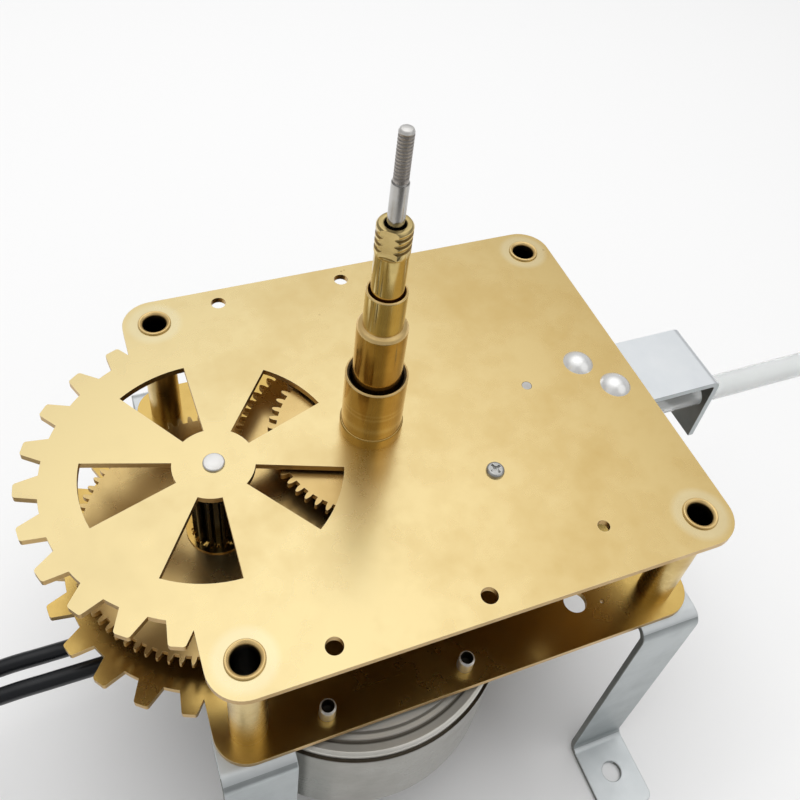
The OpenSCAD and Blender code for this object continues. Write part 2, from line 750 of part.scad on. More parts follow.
// The steel shell round the coil, with its pole fingers facing the rotor
module motor_stator() {
    outer = motor_r - motor_wall - fixed_gap;
    h = stator_h;
    poles = 24;
    pole_w = 2.6;
    pole_gap = 2.5;
    color("silver") at(motor, stator_z) {
        rotate_extrude() polygon([[stator_in_r, 0], [outer, 0], [outer, h], [stator_in_r, h],
            [stator_in_r, h - stator_t], [outer - stator_t, h - stator_t], [outer - stator_t, stator_t],
            [stator_in_r, stator_t]]);
        for (i = [0:poles - 1]) rotate([0, 0, i * 360 / poles])
            translate([stator_in_r, -pole_w / 2, i % 2 == 0 ? 0 : pole_gap]) cube([stator_t, pole_w, h - pole_gap]);
    }
}

module motor_coil() {
    h = stator_h - 2 * stator_t;
    color("chocolate") at(motor, stator_z + stator_t)
        ring(motor_r - motor_wall - stator_t - 0.2, stator_in_r + stator_t + 0.6, h);
}

// The magnet drum on its web and hub
module motor_rotor() {
    r = stator_in_r - 0.5;
    in_r = r - 4;
    hub_r = rotor_hub_r;
    h = stator_h - 3;
    web = 2;
    bore_r = rotor_shaft_r + fixed_gap;
    color("dimgray") at(motor, stator_z + 1.5) rotate_extrude() polygon([
        [bore_r, 0], [hub_r, 0], [hub_r, (h - web) / 2], [in_r, (h - web) / 2], [in_r, 0], [r, 0], [r, h], [in_r, h],
        [in_r, (h + web) / 2], [hub_r, (h + web) / 2], [hub_r, h], [bore_r, h]]);
}

module rotor_shaft() {
    low = can_z + motor_wall + 0.6;
    color("silver") at(motor, low) cylinder(r = rotor_shaft_r, h = can_top - gear_unit_h + rotor_shaft_in_unit - 0.5 - low);
}

module motor_shaft() {
    low = unit_shaft_low + 0.2;
    color("silver") at(shaft, low) difference() {
        cylinder(d = output_d, h = coupling_z + coupling_h / 2 - 0.2 - low);
        translate([output_d / 2 - 0.6, -output_d, coupling_z - low]) cube([output_d, 2 * output_d, coupling_h]);
    }
}

// The sleeve that joins the motor's shaft to the second shaft
module drive_coupling() {
    color("burlywood") at(shaft, coupling_z) difference() {
        cylinder(r = coupling_r, h = coupling_h);
        translate([0, 0, -cut]) cylinder(d = output_d + 2 * fixed_gap, h = coupling_h / 2 + cut);
        translate([0, 0, coupling_h / 2 - fixed_gap]) cylinder(r = second_low_r + fixed_gap, h = coupling_h);
        translate([0, 0, coupling_h / 4]) rotate([0, 90, 0]) cylinder(r = 0.8 + fixed_gap, h = coupling_r + cut);
    }
}

module coupling_screw() {
    color("dimgray") at(shaft, coupling_z + coupling_h / 4) rotate([0, 90, 0])
        translate([0, 0, output_d / 2 - 0.5]) cylinder(r = 0.8, h = coupling_r - output_d / 2 + 0.4);
}

// The block on the can's side where the two cables enter
module cable_block() {
    y_low = min(cable_y) - 7;
    y_high = max(cable_y) + 7;
    block_l = 16;
    block_h = 11;
    low = cable_z - 6.5;
    color("dimgray") difference() {
        translate([block_x, y_low, low]) cube([block_l, y_high - y_low, block_h]);
        at(motor, low - cut) cylinder(r = motor_r + fixed_gap, h = block_h + 2 * cut);
    }
}

module cable_reliefs() {
    base_r = cable_r + 1.3;
    ribs = 4;
    step = (relief_l - 4) / ribs;
    color("black") for (y = cable_y) translate([block_x, y, cable_z]) rotate([0, -90, 0])
        rotate_extrude() polygon(concat([[0, 0], [base_r, 0]],
            [for (i = [0:ribs - 1]) let (r = base_r - 0.2 * i, z = 3 + i * step)
                each [[r, z], [r - 0.6, z + 0.5], [r - 0.6, z + step / 2], [r - 0.2, z + step / 2 + 0.5]]],
            [[cable_r + 0.4, relief_l - 0.5], [cable_r + 0.2, relief_l], [0, relief_l]]));
}

// Bracket and sleeve

module tube_bracket() {
    y = -bracket_front;
    inner = 1;
    outer = inner + bracket_t;
    low = front_z - bracket_t - cut;
    color("lightsteelblue") difference() {
        translate([0, y + bracket_w / 2, front_z]) rotate([90, 0, 0]) linear_extrude(bracket_w) polygon(concat(
            [[bracket_in_x, -bracket_t], [bracket_x - outer, -bracket_t]],
            arc([bracket_x - outer, -outer], inner, 90, 0),
            [[bracket_x - bracket_t, -bracket_h], [bracket_x, -bracket_h]],
            arc([bracket_x - outer, -outer], outer, 0, 90),
            [[bracket_in_x, 0]]));
        translate([bracket_x - bracket_t - cut, sleeve_y, sleeve_z]) rotate([0, 90, 0])
            cylinder(d = sleeve_d + 2 * fixed_gap, h = bracket_t + 2 * cut);
        for (place = rivets) at(place, low) cylinder(d = rivet_d + 2 * fixed_gap, h = bracket_t + 2 * cut);
        at([setting_x, 0], low) cylinder(r = setting_r + 1, h = bracket_t + 2 * cut);
    }
}

// Domed rivets through the front plate and the bracket
module bracket_rivets() {
    r = rivet_head_d / 2;
    low = -plate_t - bracket_t;
    dome_r = (r * r + rivet_head_h * rivet_head_h) / (2 * rivet_head_h);
    angle = asin(r / dome_r);
    color("whitesmoke") for (place = rivets) at(place, front_top) rotate_extrude() polygon(concat(
        [[0, low - 1.2], [rivet_d / 2 + 0.6, low - 1.2], [rivet_d / 2 + 1, low - 0.8],
            [rivet_d / 2 + 1, low], [rivet_d / 2, low], [rivet_d / 2, 0], [r, 0]],
        [for (i = [1:8]) let (a = angle * (1 - i / 8))
            [dome_r * sin(a), dome_r * cos(a) - dome_r + rivet_head_h]]));
}

module clear_sleeve() {
    color("aliceblue", 0.5) translate([bracket_x + sleeve_out - sleeve_l, sleeve_y, sleeve_z]) rotate([0, 90, 0])
        ring(sleeve_d / 2, sleeve_bore_d / 2, sleeve_l);
}

// Cables

// A tube swept along points; side is a direction that the route never runs along
module swept(points, r, sides, side) {
    last = len(points) - 1;
    rings = [for (i = [0:last])
        let (before = points[max(i - 1, 0)], after = points[min(i + 1, last)],
            ahead = (after - before) / norm(after - before),
            across = cross(ahead, side) / norm(cross(ahead, side)), up = cross(across, ahead))
        [for (k = [0:sides - 1]) let (a = (k + 0.5) * 360 / sides)
            points[i] + r * (cos(a) * across + sin(a) * up)]];
    polyhedron(points = [for (one = rings) each one], faces = concat(
        [[for (k = [0:sides - 1]) k]],
        [for (i = [0:last - 1], k = [0:sides - 1]) let (a = i * sides + k, b = i * sides + (k + 1) % sides)
            each [[b, a, a + sides], [b, a + sides, b + sides]]],
        [[for (k = [sides - 1:-1:0]) last * sides + k]]));
}

// Radius and height of a coil after so many turns: in on the floor, half a turn to climb, out on top
in_turns = (coil_turns - 0.5) / 2 + 0.5;
coil_out_r = coil_in_r + in_turns * coil_pitch;
function coil_r(t) = t < in_turns ? coil_out_r - coil_pitch * t
    : coil_in_r + coil_pitch * max(t - in_turns - 0.5, 0);
function coil_h(t) = cable_r + coil_pitch * min(max(2 * (t - in_turns), 0), 1);

// A coil begins straight after its run, and turns to the left of it (hand -1) or to the right (hand 1)
straight_l = cable_d + 1;
function coil_centre(run, hand) = let (end = run[len(run) - 1])
    [end[0] - straight_l, end[1] + hand * coil_out_r];
function coil_turn_points(centre, hand) = [for (i = [0:coil_rings * coil_turns])
    let (t = i / coil_rings, a = -hand * (90 + 360 * t))
    [centre[0] + coil_r(t) * cos(a), centre[1] + coil_r(t) * sin(a), coil_h(t)]];
function coil_route(run, hand) =
    let (turns = coil_turn_points(coil_centre(run, hand), hand), last = turns[len(turns) - 1],
        way = last - turns[len(turns) - 2], flat = [way[0], way[1], 0] / norm([way[0], way[1]]))
    concat([run[len(run) - 1]], turns, [last + straight_l * flat]);

// Least gap between two stretches of a coil that lie at least half a turn apart
function least_gap(points) = min([for (i = [0:len(points) - 1], j = [i + coil_rings / 2:len(points) - 1])
    norm(points[i] - points[j])]) - cable_d;
echo(coil_gap_upper = least_gap(coil_route(upper_run, 1)), coil_gap_lower = least_gap(coil_route(lower_run, -1)));

// Length of a route, from point to point
function route_length(points) = len(points) < 2 ? 0
    : norm(points[1] - points[0]) + route_length([for (i = [1:len(points) - 1]) points[i]]);
echo(upper_length = route_length(upper_run) + route_length(coil_route(upper_run, 1)),
    lower_length = route_length(lower_run) + route_length(coil_route(lower_run, -1)));

module cable_run(run) {
    color("black") swept(run, cable_r, 8, [0, 1, 0]);
}

module cable_coil(run, hand) {
    color("black") swept(coil_route(run, hand), cable_r, coil_sides, [0, 0, 1]);
}

// The two stripped conductors at a cable's end, lying on the coil
module cable_leads(run, hand) {
    route = coil_route(run, hand);
    end = route[len(route) - 1];
    way = end - route[len(route) - 2];
    color("sienna") translate(end) rotate([0, 0, atan2(way[1], way[0])]) for (s = [-1, 1])
        translate([0, s * 1.1, 0]) rotate([0, 90, 0]) {
            cylinder(r = 0.9, h = lead_l);
            cylinder(r = 0.6, h = lead_l + ferrule_l);
        }
}

front_plate();
rear_plate();
pillar(pillar_place(-1, -1));  // pillar_front_left
pillar(pillar_place(1, -1));  // pillar_front_right
pillar(pillar_place(-1, 1));  // pillar_rear_left
pillar(pillar_place(1, 1));  // pillar_rear_right
leg(-1, -1);  // leg_front_left
leg(1, -1);  // leg_front_right
leg(-1, 1);  // leg_rear_left
leg(1, 1);  // leg_rear_right
centre_tube();
hour_tube();
hour_wheel();
minute_tube();
minute_wheel();
minute_pinion();
second_shaft();
second_pinion();
intermediate_arbor();
intermediate_wheel();
clutch_washer();
intermediate_pinion();
motion_post();
post_screw();
motion_wheel();
motion_pinion();
setting_arbor();
setting_pinion();
drive_coupling();
coupling_screw();
motor_shaft();
motor_cover();
motor_can();
motor_bush();
motor_studs();
motor_gear_unit();
motor_stator();
motor_coil();
motor_rotor();
rotor_shaft();
cable_block();
cable_reliefs();
tube_bracket();
bracket_rivets();
clear_sleeve();
cable_run(upper_run);  // cable_upper_run
cable_coil(upper_run, 1);  // cable_upper_coil
cable_leads(upper_run, 1);  // cable_upper_leads
cable_run(lower_run);  // cable_lower_run
cable_coil(lower_run, -1);  // cable_lower_coil
cable_leads(lower_run, -1);  // cable_lower_leads
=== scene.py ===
import json
import math

import bmesh
import bpy
from mathutils import Matrix, Vector

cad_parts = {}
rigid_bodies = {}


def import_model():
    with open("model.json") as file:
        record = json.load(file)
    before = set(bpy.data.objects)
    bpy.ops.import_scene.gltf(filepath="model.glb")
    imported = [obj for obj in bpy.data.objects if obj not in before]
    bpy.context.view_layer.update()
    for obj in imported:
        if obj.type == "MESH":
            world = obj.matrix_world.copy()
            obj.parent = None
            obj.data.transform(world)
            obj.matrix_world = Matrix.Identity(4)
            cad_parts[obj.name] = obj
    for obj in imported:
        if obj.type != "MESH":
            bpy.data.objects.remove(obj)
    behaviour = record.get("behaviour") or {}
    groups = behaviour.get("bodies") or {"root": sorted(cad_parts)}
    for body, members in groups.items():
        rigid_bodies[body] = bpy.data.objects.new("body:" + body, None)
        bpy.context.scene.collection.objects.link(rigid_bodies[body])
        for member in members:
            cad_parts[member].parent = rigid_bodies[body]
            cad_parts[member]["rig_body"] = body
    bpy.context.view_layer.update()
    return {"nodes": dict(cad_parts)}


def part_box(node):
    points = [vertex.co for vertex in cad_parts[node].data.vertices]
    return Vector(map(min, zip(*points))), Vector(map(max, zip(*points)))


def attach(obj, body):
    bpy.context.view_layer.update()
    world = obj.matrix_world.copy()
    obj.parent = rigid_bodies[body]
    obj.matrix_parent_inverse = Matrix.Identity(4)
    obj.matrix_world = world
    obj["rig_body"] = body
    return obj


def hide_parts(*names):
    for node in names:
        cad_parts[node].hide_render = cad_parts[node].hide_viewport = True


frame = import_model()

nodes = frame["nodes"]
scene = bpy.context.scene
scene.view_settings.view_transform = "Standard"
mm = 0.001
mergeDistance = 0.002 * mm

# Places that more than one piece needs, read from the frame
shaftX = sum(corner.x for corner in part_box("second_shaft")) / 2
lobeX = sum(corner.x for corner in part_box("intermediate_arbor")) / 2
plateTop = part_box("front_plate")[1].z


# Camera

cameraView = {
    "place": (-0.08049, -0.14180, 0.34693),
    "right": (0.9288, -0.3573, 0.0987),
    "up": (0.1962, 0.6997, 0.6870),
    "back": (-0.3145, -0.6187, 0.7200),
    "lens": 40.709,
    "shiftUp": -0.1,
}


def makeCamera(view):
    camera = bpy.data.objects.new("camera", bpy.data.cameras.new("camera"))
    scene.collection.objects.link(camera)
    axes = Matrix((view["right"], view["up"], view["back"])).transposed()
    camera.matrix_world = Matrix.Translation(view["place"]) @ axes.to_4x4()
    camera.data.sensor_width = 36
    camera.data.lens = view["lens"]
    camera.data.shift_y = view["shiftUp"]
    camera.data.clip_start = 0.01
    scene.camera = camera


makeCamera(cameraView)
print("camera placed")


# Modelling helpers

def pick(piece):
    if bpy.context.mode != "OBJECT":
        bpy.ops.object.mode_set(mode="OBJECT")
    bpy.ops.object.select_all(action="DESELECT")
    piece.select_set(True)
    bpy.context.view_layer.objects.active = piece
    return piece


def openMesh(piece, kind="FACE"):
    pick(piece)
    bpy.ops.object.mode_set(mode="EDIT")
    bpy.ops.mesh.select_mode(type=kind)
    bpy.ops.mesh.select_all(action="DESELECT")


def closeMesh():
    bpy.ops.object.mode_set(mode="OBJECT")


def selectFaces(piece, test):
    shape = bmesh.from_edit_mesh(piece.data)
    for face in shape.faces:
        face.select_set(test(face.calc_center_median(), face.normal))
    bmesh.update_edit_mesh(piece.data)


def selectEdges(piece, test):
    shape = bmesh.from_edit_mesh(piece.data)
    for edge in shape.edges:
        edge.select_set(test(edge.verts[0].co, edge.verts[1].co))
    bmesh.update_edit_mesh(piece.data)


# A merged copy of a CAD node's mesh, which can then be rounded and dressed
def copyNode(node, tidy=True):
    piece = bpy.data.objects.new(node + "_finished", nodes[node].data.copy())
    scene.collection.objects.link(piece)
    piece.data.materials.clear()
    pick(piece)
    bpy.ops.mesh.customdata_custom_splitnormals_clear()
    openMesh(piece)
    bpy.ops.mesh.select_all(action="SELECT")
    bpy.ops.mesh.remove_doubles(threshold=mergeDistance)
    if tidy:
        bpy.ops.mesh.dissolve_limited(angle_limit=math.radians(0.5))
    closeMesh()
    return piece


# Gives each face the material that choose() picks from its middle and its normal
def paint(piece, materials, choose=None):
    piece.data.materials.clear()
    for material in materials:
        piece.data.materials.append(material)
    if choose:
        for face in piece.data.polygons:
            face.material_index = choose(face.center, face.normal)


# A body turned from a closed outline of (radius, height) points, or wound into a helix when it rises
def revolve(name, outline, centre, rise=0.0, turns=1, steps=96):
    count = len(outline)
    corners = [(radius, 0, height) for radius, height in outline]
    sides = [(i, (i + 1) % count) for i in range(count)]
    mesh = bpy.data.meshes.new(name)
    mesh.from_pydata(corners, sides, [])
    piece = bpy.data.objects.new(name, mesh)
    scene.collection.objects.link(piece)
    addModifier(piece, "SCREW", angle=math.tau, steps=steps, render_steps=steps, screw_offset=rise,
                iterations=turns, use_merge_vertices=rise == 0, merge_threshold=mergeDistance)
    openMesh(piece)
    bpy.ops.mesh.select_all(action="SELECT")
    if rise:
        bpy.ops.mesh.fill_holes(sides=0)
    bpy.ops.mesh.normals_make_consistent(inside=False)
    closeMesh()
    piece.location = (*centre, 0)
    pick(piece)
    bpy.ops.object.transform_apply(location=True, rotation=True, scale=True)
    return piece


def addModifier(piece, kind, **settings):
    pick(piece)
    modifier = piece.modifiers.new(kind.lower(), kind)
    for name, value in settings.items():
        setattr(modifier, name, value)
    bpy.ops.object.modifier_apply(modifier=modifier.name)


# Rounds the sharp edges, then gives the flats their own normals
def roundEdges(piece, width, segments=2, sharp=30, clamp=True):
    addModifier(piece, "BEVEL", width=width, segments=segments, limit_method="ANGLE",
                angle_limit=math.radians(sharp), use_clamp_overlap=clamp, miter_outer="MITER_ARC")
    smooth(piece)


def smooth(piece, angle=42):
    pick(piece)
    bpy.ops.object.shade_smooth_by_angle(angle=math.radians(angle))
    addModifier(piece, "WEIGHTED_NORMAL", mode="FACE_AREA", weight=50, keep_sharp=True)


def bodyOf(node):
    return nodes[node]["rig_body"]


# Puts a finished copy in its node's place
def standFor(piece, node):
    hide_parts(node)
    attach(piece, bodyOf(node))


# Shader helpers

def addNode(tree, kind, inputs=(), **settings):
    node = tree.nodes.new("ShaderNode" + kind)
    for name, value in settings.items():
        setattr(node, name, value)
    for name, value in dict(inputs).items():
        if isinstance(value, bpy.types.NodeSocket):
            tree.links.new(value, node.inputs[name])
        else:
            node.inputs[name].default_value = value
    return node


def noise(tree, where, scale, detail=3, roughness=0.5):
    inputs = {"Vector": where, "Scale": scale, "Detail": detail, "Roughness": roughness}
    return addNode(tree, "TexNoise", inputs).outputs["Fac"]


def math2(tree, operation, a, b=0.5, clamp=False):
    return addNode(tree, "Math", {0: a, 1: b}, operation=operation, use_clamp=clamp).outputs[0]


def times(tree, a, b, clamp=False):
    return math2(tree, "MULTIPLY", a, b, clamp)


def plus(tree, a, b, clamp=False):
    return math2(tree, "ADD", a, b, clamp)


def minus(tree, a, b, clamp=False):
    return math2(tree, "SUBTRACT", a, b, clamp)


def remap(tree, value, low, high, newLow=0.0, newHigh=1.0):
    return addNode(tree, "MapRange", {"Value": value, "From Min": low, "From Max": high,
                                      "To Min": newLow, "To Max": newHigh}).outputs["Result"]


def mixColour(tree, share, a, b):
    node = addNode(tree, "Mix", {}, data_type="RGBA")
    for socket, value in ((node.inputs["Factor"], share), (node.inputs[6], a), (node.inputs[7], b)):
        if isinstance(value, bpy.types.NodeSocket):
            tree.links.new(value, socket)
        else:
            socket.default_value = value if isinstance(value, (int, float)) else (*value, 1)
    return node.outputs[2]


def newGroup(name, inputs, outputs):
    tree = bpy.data.node_groups.new(name, "ShaderNodeTree")
    for label, value in inputs.items():
        socket = tree.interface.new_socket(label, in_out="INPUT", socket_type="NodeSocketFloat")
        socket.default_value = value
    for label in outputs:
        tree.interface.new_socket(label, in_out="OUTPUT", socket_type="NodeSocketFloat")
    return tree, tree.nodes.new("NodeGroupInput").outputs, tree.nodes.new("NodeGroupOutput").inputs


def objectPoint(tree):
    return addNode(tree, "TexCoord").outputs["Object"]


def turned(tree, where, angles, stretch):
    inputs = {"Vector": where, "Rotation": [math.radians(angle) for angle in angles], "Scale": stretch}
    return addNode(tree, "Mapping", inputs).outputs["Vector"]


# Faint stains, pits and hair scratches of handled sheet metal
def buildPatina():
    outputs = ("Stains", "Pits", "Scratches")
    tree, given, out = newGroup("patina", {"Scale": 1.0, "Scratch": 1.0}, outputs)
    inputs = {0: objectPoint(tree), "Scale": given["Scale"]}
    where = addNode(tree, "VectorMath", inputs, operation="SCALE").outputs[0]
    broad = noise(tree, where, 22, 5, 0.62)
    fine = noise(tree, where, 110, 4, 0.6)
    blotch = plus(tree, times(tree, broad, 0.7), times(tree, fine, 0.3))
    tree.links.new(remap(tree, blotch, 0.44, 0.66), out["Stains"])
    spots = addNode(tree, "TexVoronoi", {"Vector": where, "Scale": 190}).outputs["Distance"]
    rare = remap(tree, noise(tree, where, 60, 2), 0.62, 0.68)
    tree.links.new(times(tree, remap(tree, spots, 0.10, 0.04), rare), out["Pits"])
    lines = 0.0
    for angle in (24, 97, 151):
        along = turned(tree, where, (0, 0, angle), (14, 1500, 60))
        hair = remap(tree, noise(tree, along, 1.0, 2, 0.4), 0.68, 0.78)
        here = remap(tree, noise(tree, where, 17 + angle * 0.1, 2), 0.55, 0.68)
        lines = plus(tree, times(tree, hair, here), lines)
    tree.links.new(times(tree, lines, given["Scratch"], clamp=True), out["Scratches"])
    return tree


# Fine lines round the Z axis, as a lathe leaves them: across flats from the centre out, and up the sides
def buildTurning():
    inputs = {"Centre X": 0.0, "Centre Y": 0.0, "Pitch": 0.25 * mm}
    tree, given, out = newGroup("turning", inputs, ("Rings", "Sides"))
    parts = addNode(tree, "SeparateXYZ", {0: objectPoint(tree)}).outputs
    x = minus(tree, parts["X"], given["Centre X"])
    y = minus(tree, parts["Y"], given["Centre Y"])
    radius = math2(tree, "SQRT", plus(tree, times(tree, x, x), times(tree, y, y)))
    for label, way in (("Rings", radius), ("Sides", parts["Z"])):
        count = math2(tree, "DIVIDE", way, given["Pitch"])
        fine = {"W": count, "Scale": 1.0, "Detail": 3.0, "Roughness": 0.6}
        line = addNode(tree, "TexNoise", fine, noise_dimensions="1D")
        tree.links.new(line.outputs["Fac"], out[label])
    return tree


# A soft band round the Z axis, at one radius from a centre
def buildRing():
    inputs = {"Centre X": 0.0, "Centre Y": 0.0, "Radius": 0.01, "Width": 0.001}
    tree, given, out = newGroup("ringMask", inputs, ("Mask",))
    centre = addNode(tree, "CombineXYZ", {"X": given["Centre X"], "Y": given["Centre Y"]}).outputs[0]
    level = addNode(tree, "VectorMath", {0: objectPoint(tree), 1: (1, 1, 0)}, operation="MULTIPLY")
    ends = {0: level.outputs[0], 1: centre}
    away = addNode(tree, "VectorMath", ends, operation="DISTANCE").outputs["Value"]
    off = math2(tree, "ABSOLUTE", minus(tree, away, given["Radius"]))
    near = minus(tree, 1.0, math2(tree, "DIVIDE", off, given["Width"]), clamp=True)
    tree.links.new(times(tree, near, 1.6, clamp=True), out["Mask"])
    return tree


# Long grain left by rolling, along X
def buildGrain():
    tree, given, out = newGroup("rolledGrain", {"Fineness": 1.0, "Turn": 0.0}, ("Grain",))
    turn = addNode(tree, "CombineXYZ", {"Z": given["Turn"]}).outputs[0]
    inputs = {"Vector": objectPoint(tree), "Rotation": turn}
    where = addNode(tree, "VectorRotate", inputs, rotation_type="EULER_XYZ").outputs[0]
    along = addNode(tree, "Mapping", {"Vector": where, "Scale": (30, 1500, 1500)}).outputs["Vector"]
    scaled = addNode(tree, "VectorMath", {0: along, "Scale": given["Fineness"]}, operation="SCALE")
    tree.links.new(noise(tree, scaled.outputs[0], 1.0, 3, 0.55), out["Grain"])
    return tree


# How close a point is to a sharp edge, convex or concave. The pale colour mixed in there is partly wear and
# partly painted highlight
def buildEdges():
    tree, given, out = newGroup("edgeWearAndHighlight", {"Width": 0.0004, "Breakup": 1.0}, ("Edges",))
    rounded = addNode(tree, "Bevel", {"Radius": given["Width"]}, samples=4).outputs[0]
    flat = addNode(tree, "NewGeometry").outputs["Normal"]
    facing = addNode(tree, "VectorMath", {0: rounded, 1: flat}, operation="DOT_PRODUCT").outputs["Value"]
    edge = remap(tree, facing, 0.985, 0.86)
    patchy = remap(tree, noise(tree, objectPoint(tree), 160, 3), 0.3, 0.6)
    kept = math2(tree, "POWER", patchy, given["Breakup"])
    tree.links.new(times(tree, edge, kept), out["Edges"])
    return tree


patinaGroup = buildPatina()
turningGroup = buildTurning()
ringGroup = buildRing()
grainGroup = buildGrain()
edgeGroup = buildEdges()


def useGroup(tree, group, **inputs):
    node = tree.nodes.new("ShaderNodeGroup")
    node.node_tree = group
    for name, value in inputs.items():
        node.inputs[name.replace("_", " ")].default_value = value
    return node.outputs


def newMaterial(name, **fixed):
    material = bpy.data.materials.new(name)
    material.use_nodes = True
    tree = material.node_tree
    shader = tree.nodes["Principled BSDF"]
    for label, value in fixed.items():
        shader.inputs[label.replace("_", " ")].default_value = value
    return material, tree, shader.inputs


def bump(tree, height, distance, strength=1.0, under=None):
    node = addNode(tree, "Bump", {"Height": height, "Distance": distance, "Strength": strength})
    if under:
        tree.links.new(under, node.inputs["Normal"])
    return node.outputs["Normal"]


# Finishes

# Size of the painted reflection of each pillar rim, a pale ring on the front plate
rimReflectionRadius, rimReflectionWidth = 5.8 * mm, 3 * mm
turningDepth = 0.004 * mm

brass = {
    "clean": (0.935, 0.76, 0.395),
    "stained": (0.80, 0.555, 0.20),
    "pit": (0.34, 0.20, 0.08),
    "edge": (0.98, 0.87, 0.58),
    # pale ring of painted reflection round each pillar
    "rimReflection": (0.98, 0.90, 0.62),
    "roughness": (0.24, 0.35),
    "stainAndShadeDrift": (6.0, 0.3, 0.20),  # painted shade: the brass darkens toward +X and +Y
}
# The rear plate: a darker, browner brass that is painted shade between the plates
rearShadedBrassLook = dict(brass, clean=(0.86, 0.62, 0.21), stained=(0.62, 0.385, 0.095),
                 edge=(0.96, 0.80, 0.46), roughness=(0.20, 0.32), stainAndShadeDrift=(0.0, 0.0, 0.35))
# The wheels: a darker brass than the front plate's, painted shade where they sit between the plates
wheelShadedLook = dict(brass, clean=(0.88, 0.66, 0.30), stained=(0.68, 0.45, 0.16), stainAndShadeDrift=(0.0, 0.0, 0.3))
# Undersides: a very dark brass that paints the shade between the plates
shadedUndersideLook = dict(brass, clean=(0.25, 0.15, 0.05), stained=(0.16, 0.09, 0.025),
                 edge=(0.5, 0.36, 0.18), roughness=(0.40, 0.55), stainAndShadeDrift=(0.0, 0.0, 0.4))
# Sheared edges: a darker brass, partly the rough cut finish and partly painted shade
shearedAndShadedLook = dict(brass, clean=(0.70, 0.49, 0.22), stained=(0.46, 0.29, 0.10),
                   edge=(0.95, 0.80, 0.48), roughness=(0.34, 0.5), stainAndShadeDrift=(0.0, 0.0, 0.4))


# A pale ring round each riveted pillar is a painted reflection of its rim
def makePlateBrass(name, look, turn=0.0, rimReflections=()):
    material, tree, shader = newMaterial(name, Metallic=1.0)
    patina = useGroup(tree, patinaGroup, Scale=1.0, Scratch=0.4)
    grain = useGroup(tree, grainGroup, Fineness=1.0, Turn=turn)["Grain"]
    edges = useGroup(tree, edgeGroup, Width=0.0003)["Edges"]
    place = addNode(tree, "SeparateXYZ", {0: objectPoint(tree)}).outputs
    # The stained colour mixed in toward +X and +Y is painted shade; the stains noise on top of it is real
    # tarnish
    alongX, alongY, start = look["stainAndShadeDrift"]
    driftX = times(tree, place["X"], alongX)
    driftY = times(tree, place["Y"], alongY)
    stainAndShadeDrift = plus(tree, plus(tree, driftX, driftY), start)
    stainAndShade = plus(tree, stainAndShadeDrift, times(tree, patina["Stains"], 0.38), clamp=True)
    colour = mixColour(tree, stainAndShade, look["clean"], look["stained"])
    for x, y in rimReflections:
        rimReflection = useGroup(tree, ringGroup, Centre_X=x, Centre_Y=y, Radius=rimReflectionRadius, Width=rimReflectionWidth)["Mask"]
        colour = mixColour(tree, times(tree, rimReflection, 0.4), colour, look["rimReflection"])
    colour = mixColour(tree, times(tree, patina["Pits"], 0.5), colour, look["pit"])
    # Pale edges: partly wear, partly painted highlight
    colour = mixColour(tree, times(tree, edges, 0.5), colour, look["edge"])
    tree.links.new(colour, shader["Base Color"])
    low, high = look["roughness"]
    rough = remap(tree, patina["Stains"], 0, 1, low, high)
    rough = plus(tree, rough, times(tree, patina["Scratches"], 0.10))
    tree.links.new(rough, shader["Roughness"])
    scored = bump(tree, patina["Scratches"], -0.000001, 0.5)
    rolled = bump(tree, grain, 0.0000012, 0.4, scored)
    tree.links.new(bump(tree, patina["Pits"], -0.000012, 1.0, rolled), shader["Normal"])
    return material


turnedLook = {
    "bright": (0.66, 0.43, 0.125),
    "dull": (0.42, 0.235, 0.048),
    "edge": (0.84, 0.64, 0.30),
    "band": (0.86, 0.66, 0.32),
    "roughness": (0.10, 0.19),
}


# Turned metal, its lines running round the axis at centre. Rings of another colour lie at a radius,
# or at a height when their kind is "Z", and each has a width and a strength
def makeTurned(name, centre, look, pitch=0.22 * mm, metal=1.0, rings=()):
    material, tree, shader = newMaterial(name, Metallic=metal)
    x, y = centre
    turning = useGroup(tree, turningGroup, Centre_X=x, Centre_Y=y, Pitch=pitch)
    patina = useGroup(tree, patinaGroup, Scale=1.6, Scratch=0.5)
    edges = useGroup(tree, edgeGroup, Width=0.0004, Breakup=0.5)["Edges"]
    normal = addNode(tree, "SeparateXYZ", {0: addNode(tree, "NewGeometry").outputs["Normal"]}).outputs["Z"]
    flatness = remap(tree, math2(tree, "ABSOLUTE", normal, 0), 0.5, 0.8)
    inputs = {"Factor": flatness, "A": turning["Sides"], "B": turning["Rings"]}
    lines = addNode(tree, "Mix", inputs).outputs[0]
    stain = times(tree, patina["Stains"], remap(tree, lines, 0.3, 0.7, 0.6, 1.0))
    colour = mixColour(tree, stain, look["bright"], look["dull"])
    # Pale edges: partly wear, partly painted highlight
    colour = mixColour(tree, times(tree, edges, 0.6), colour, look["edge"])
    for kind, place, width, strength in rings:
        if kind == "Z":
            height = addNode(tree, "SeparateXYZ", {0: objectPoint(tree)}).outputs["Z"]
            off = math2(tree, "ABSOLUTE", minus(tree, height, place))
            mask = remap(tree, off, 0, width, 1.0, 0.0)
        else:
            ring = useGroup(tree, ringGroup, Centre_X=x, Centre_Y=y, Radius=place, Width=width)
            mask = ring["Mask"]
        colour = mixColour(tree, times(tree, mask, strength), colour, look["band"])
    tree.links.new(colour, shader["Base Color"])
    low, high = look["roughness"]
    rough = remap(tree, plus(tree, lines, patina["Stains"]), 0.3, 1.6, low, high)
    tree.links.new(rough, shader["Roughness"])
    tree.links.new(bump(tree, lines, turningDepth, 0.8), shader["Normal"])
    return material


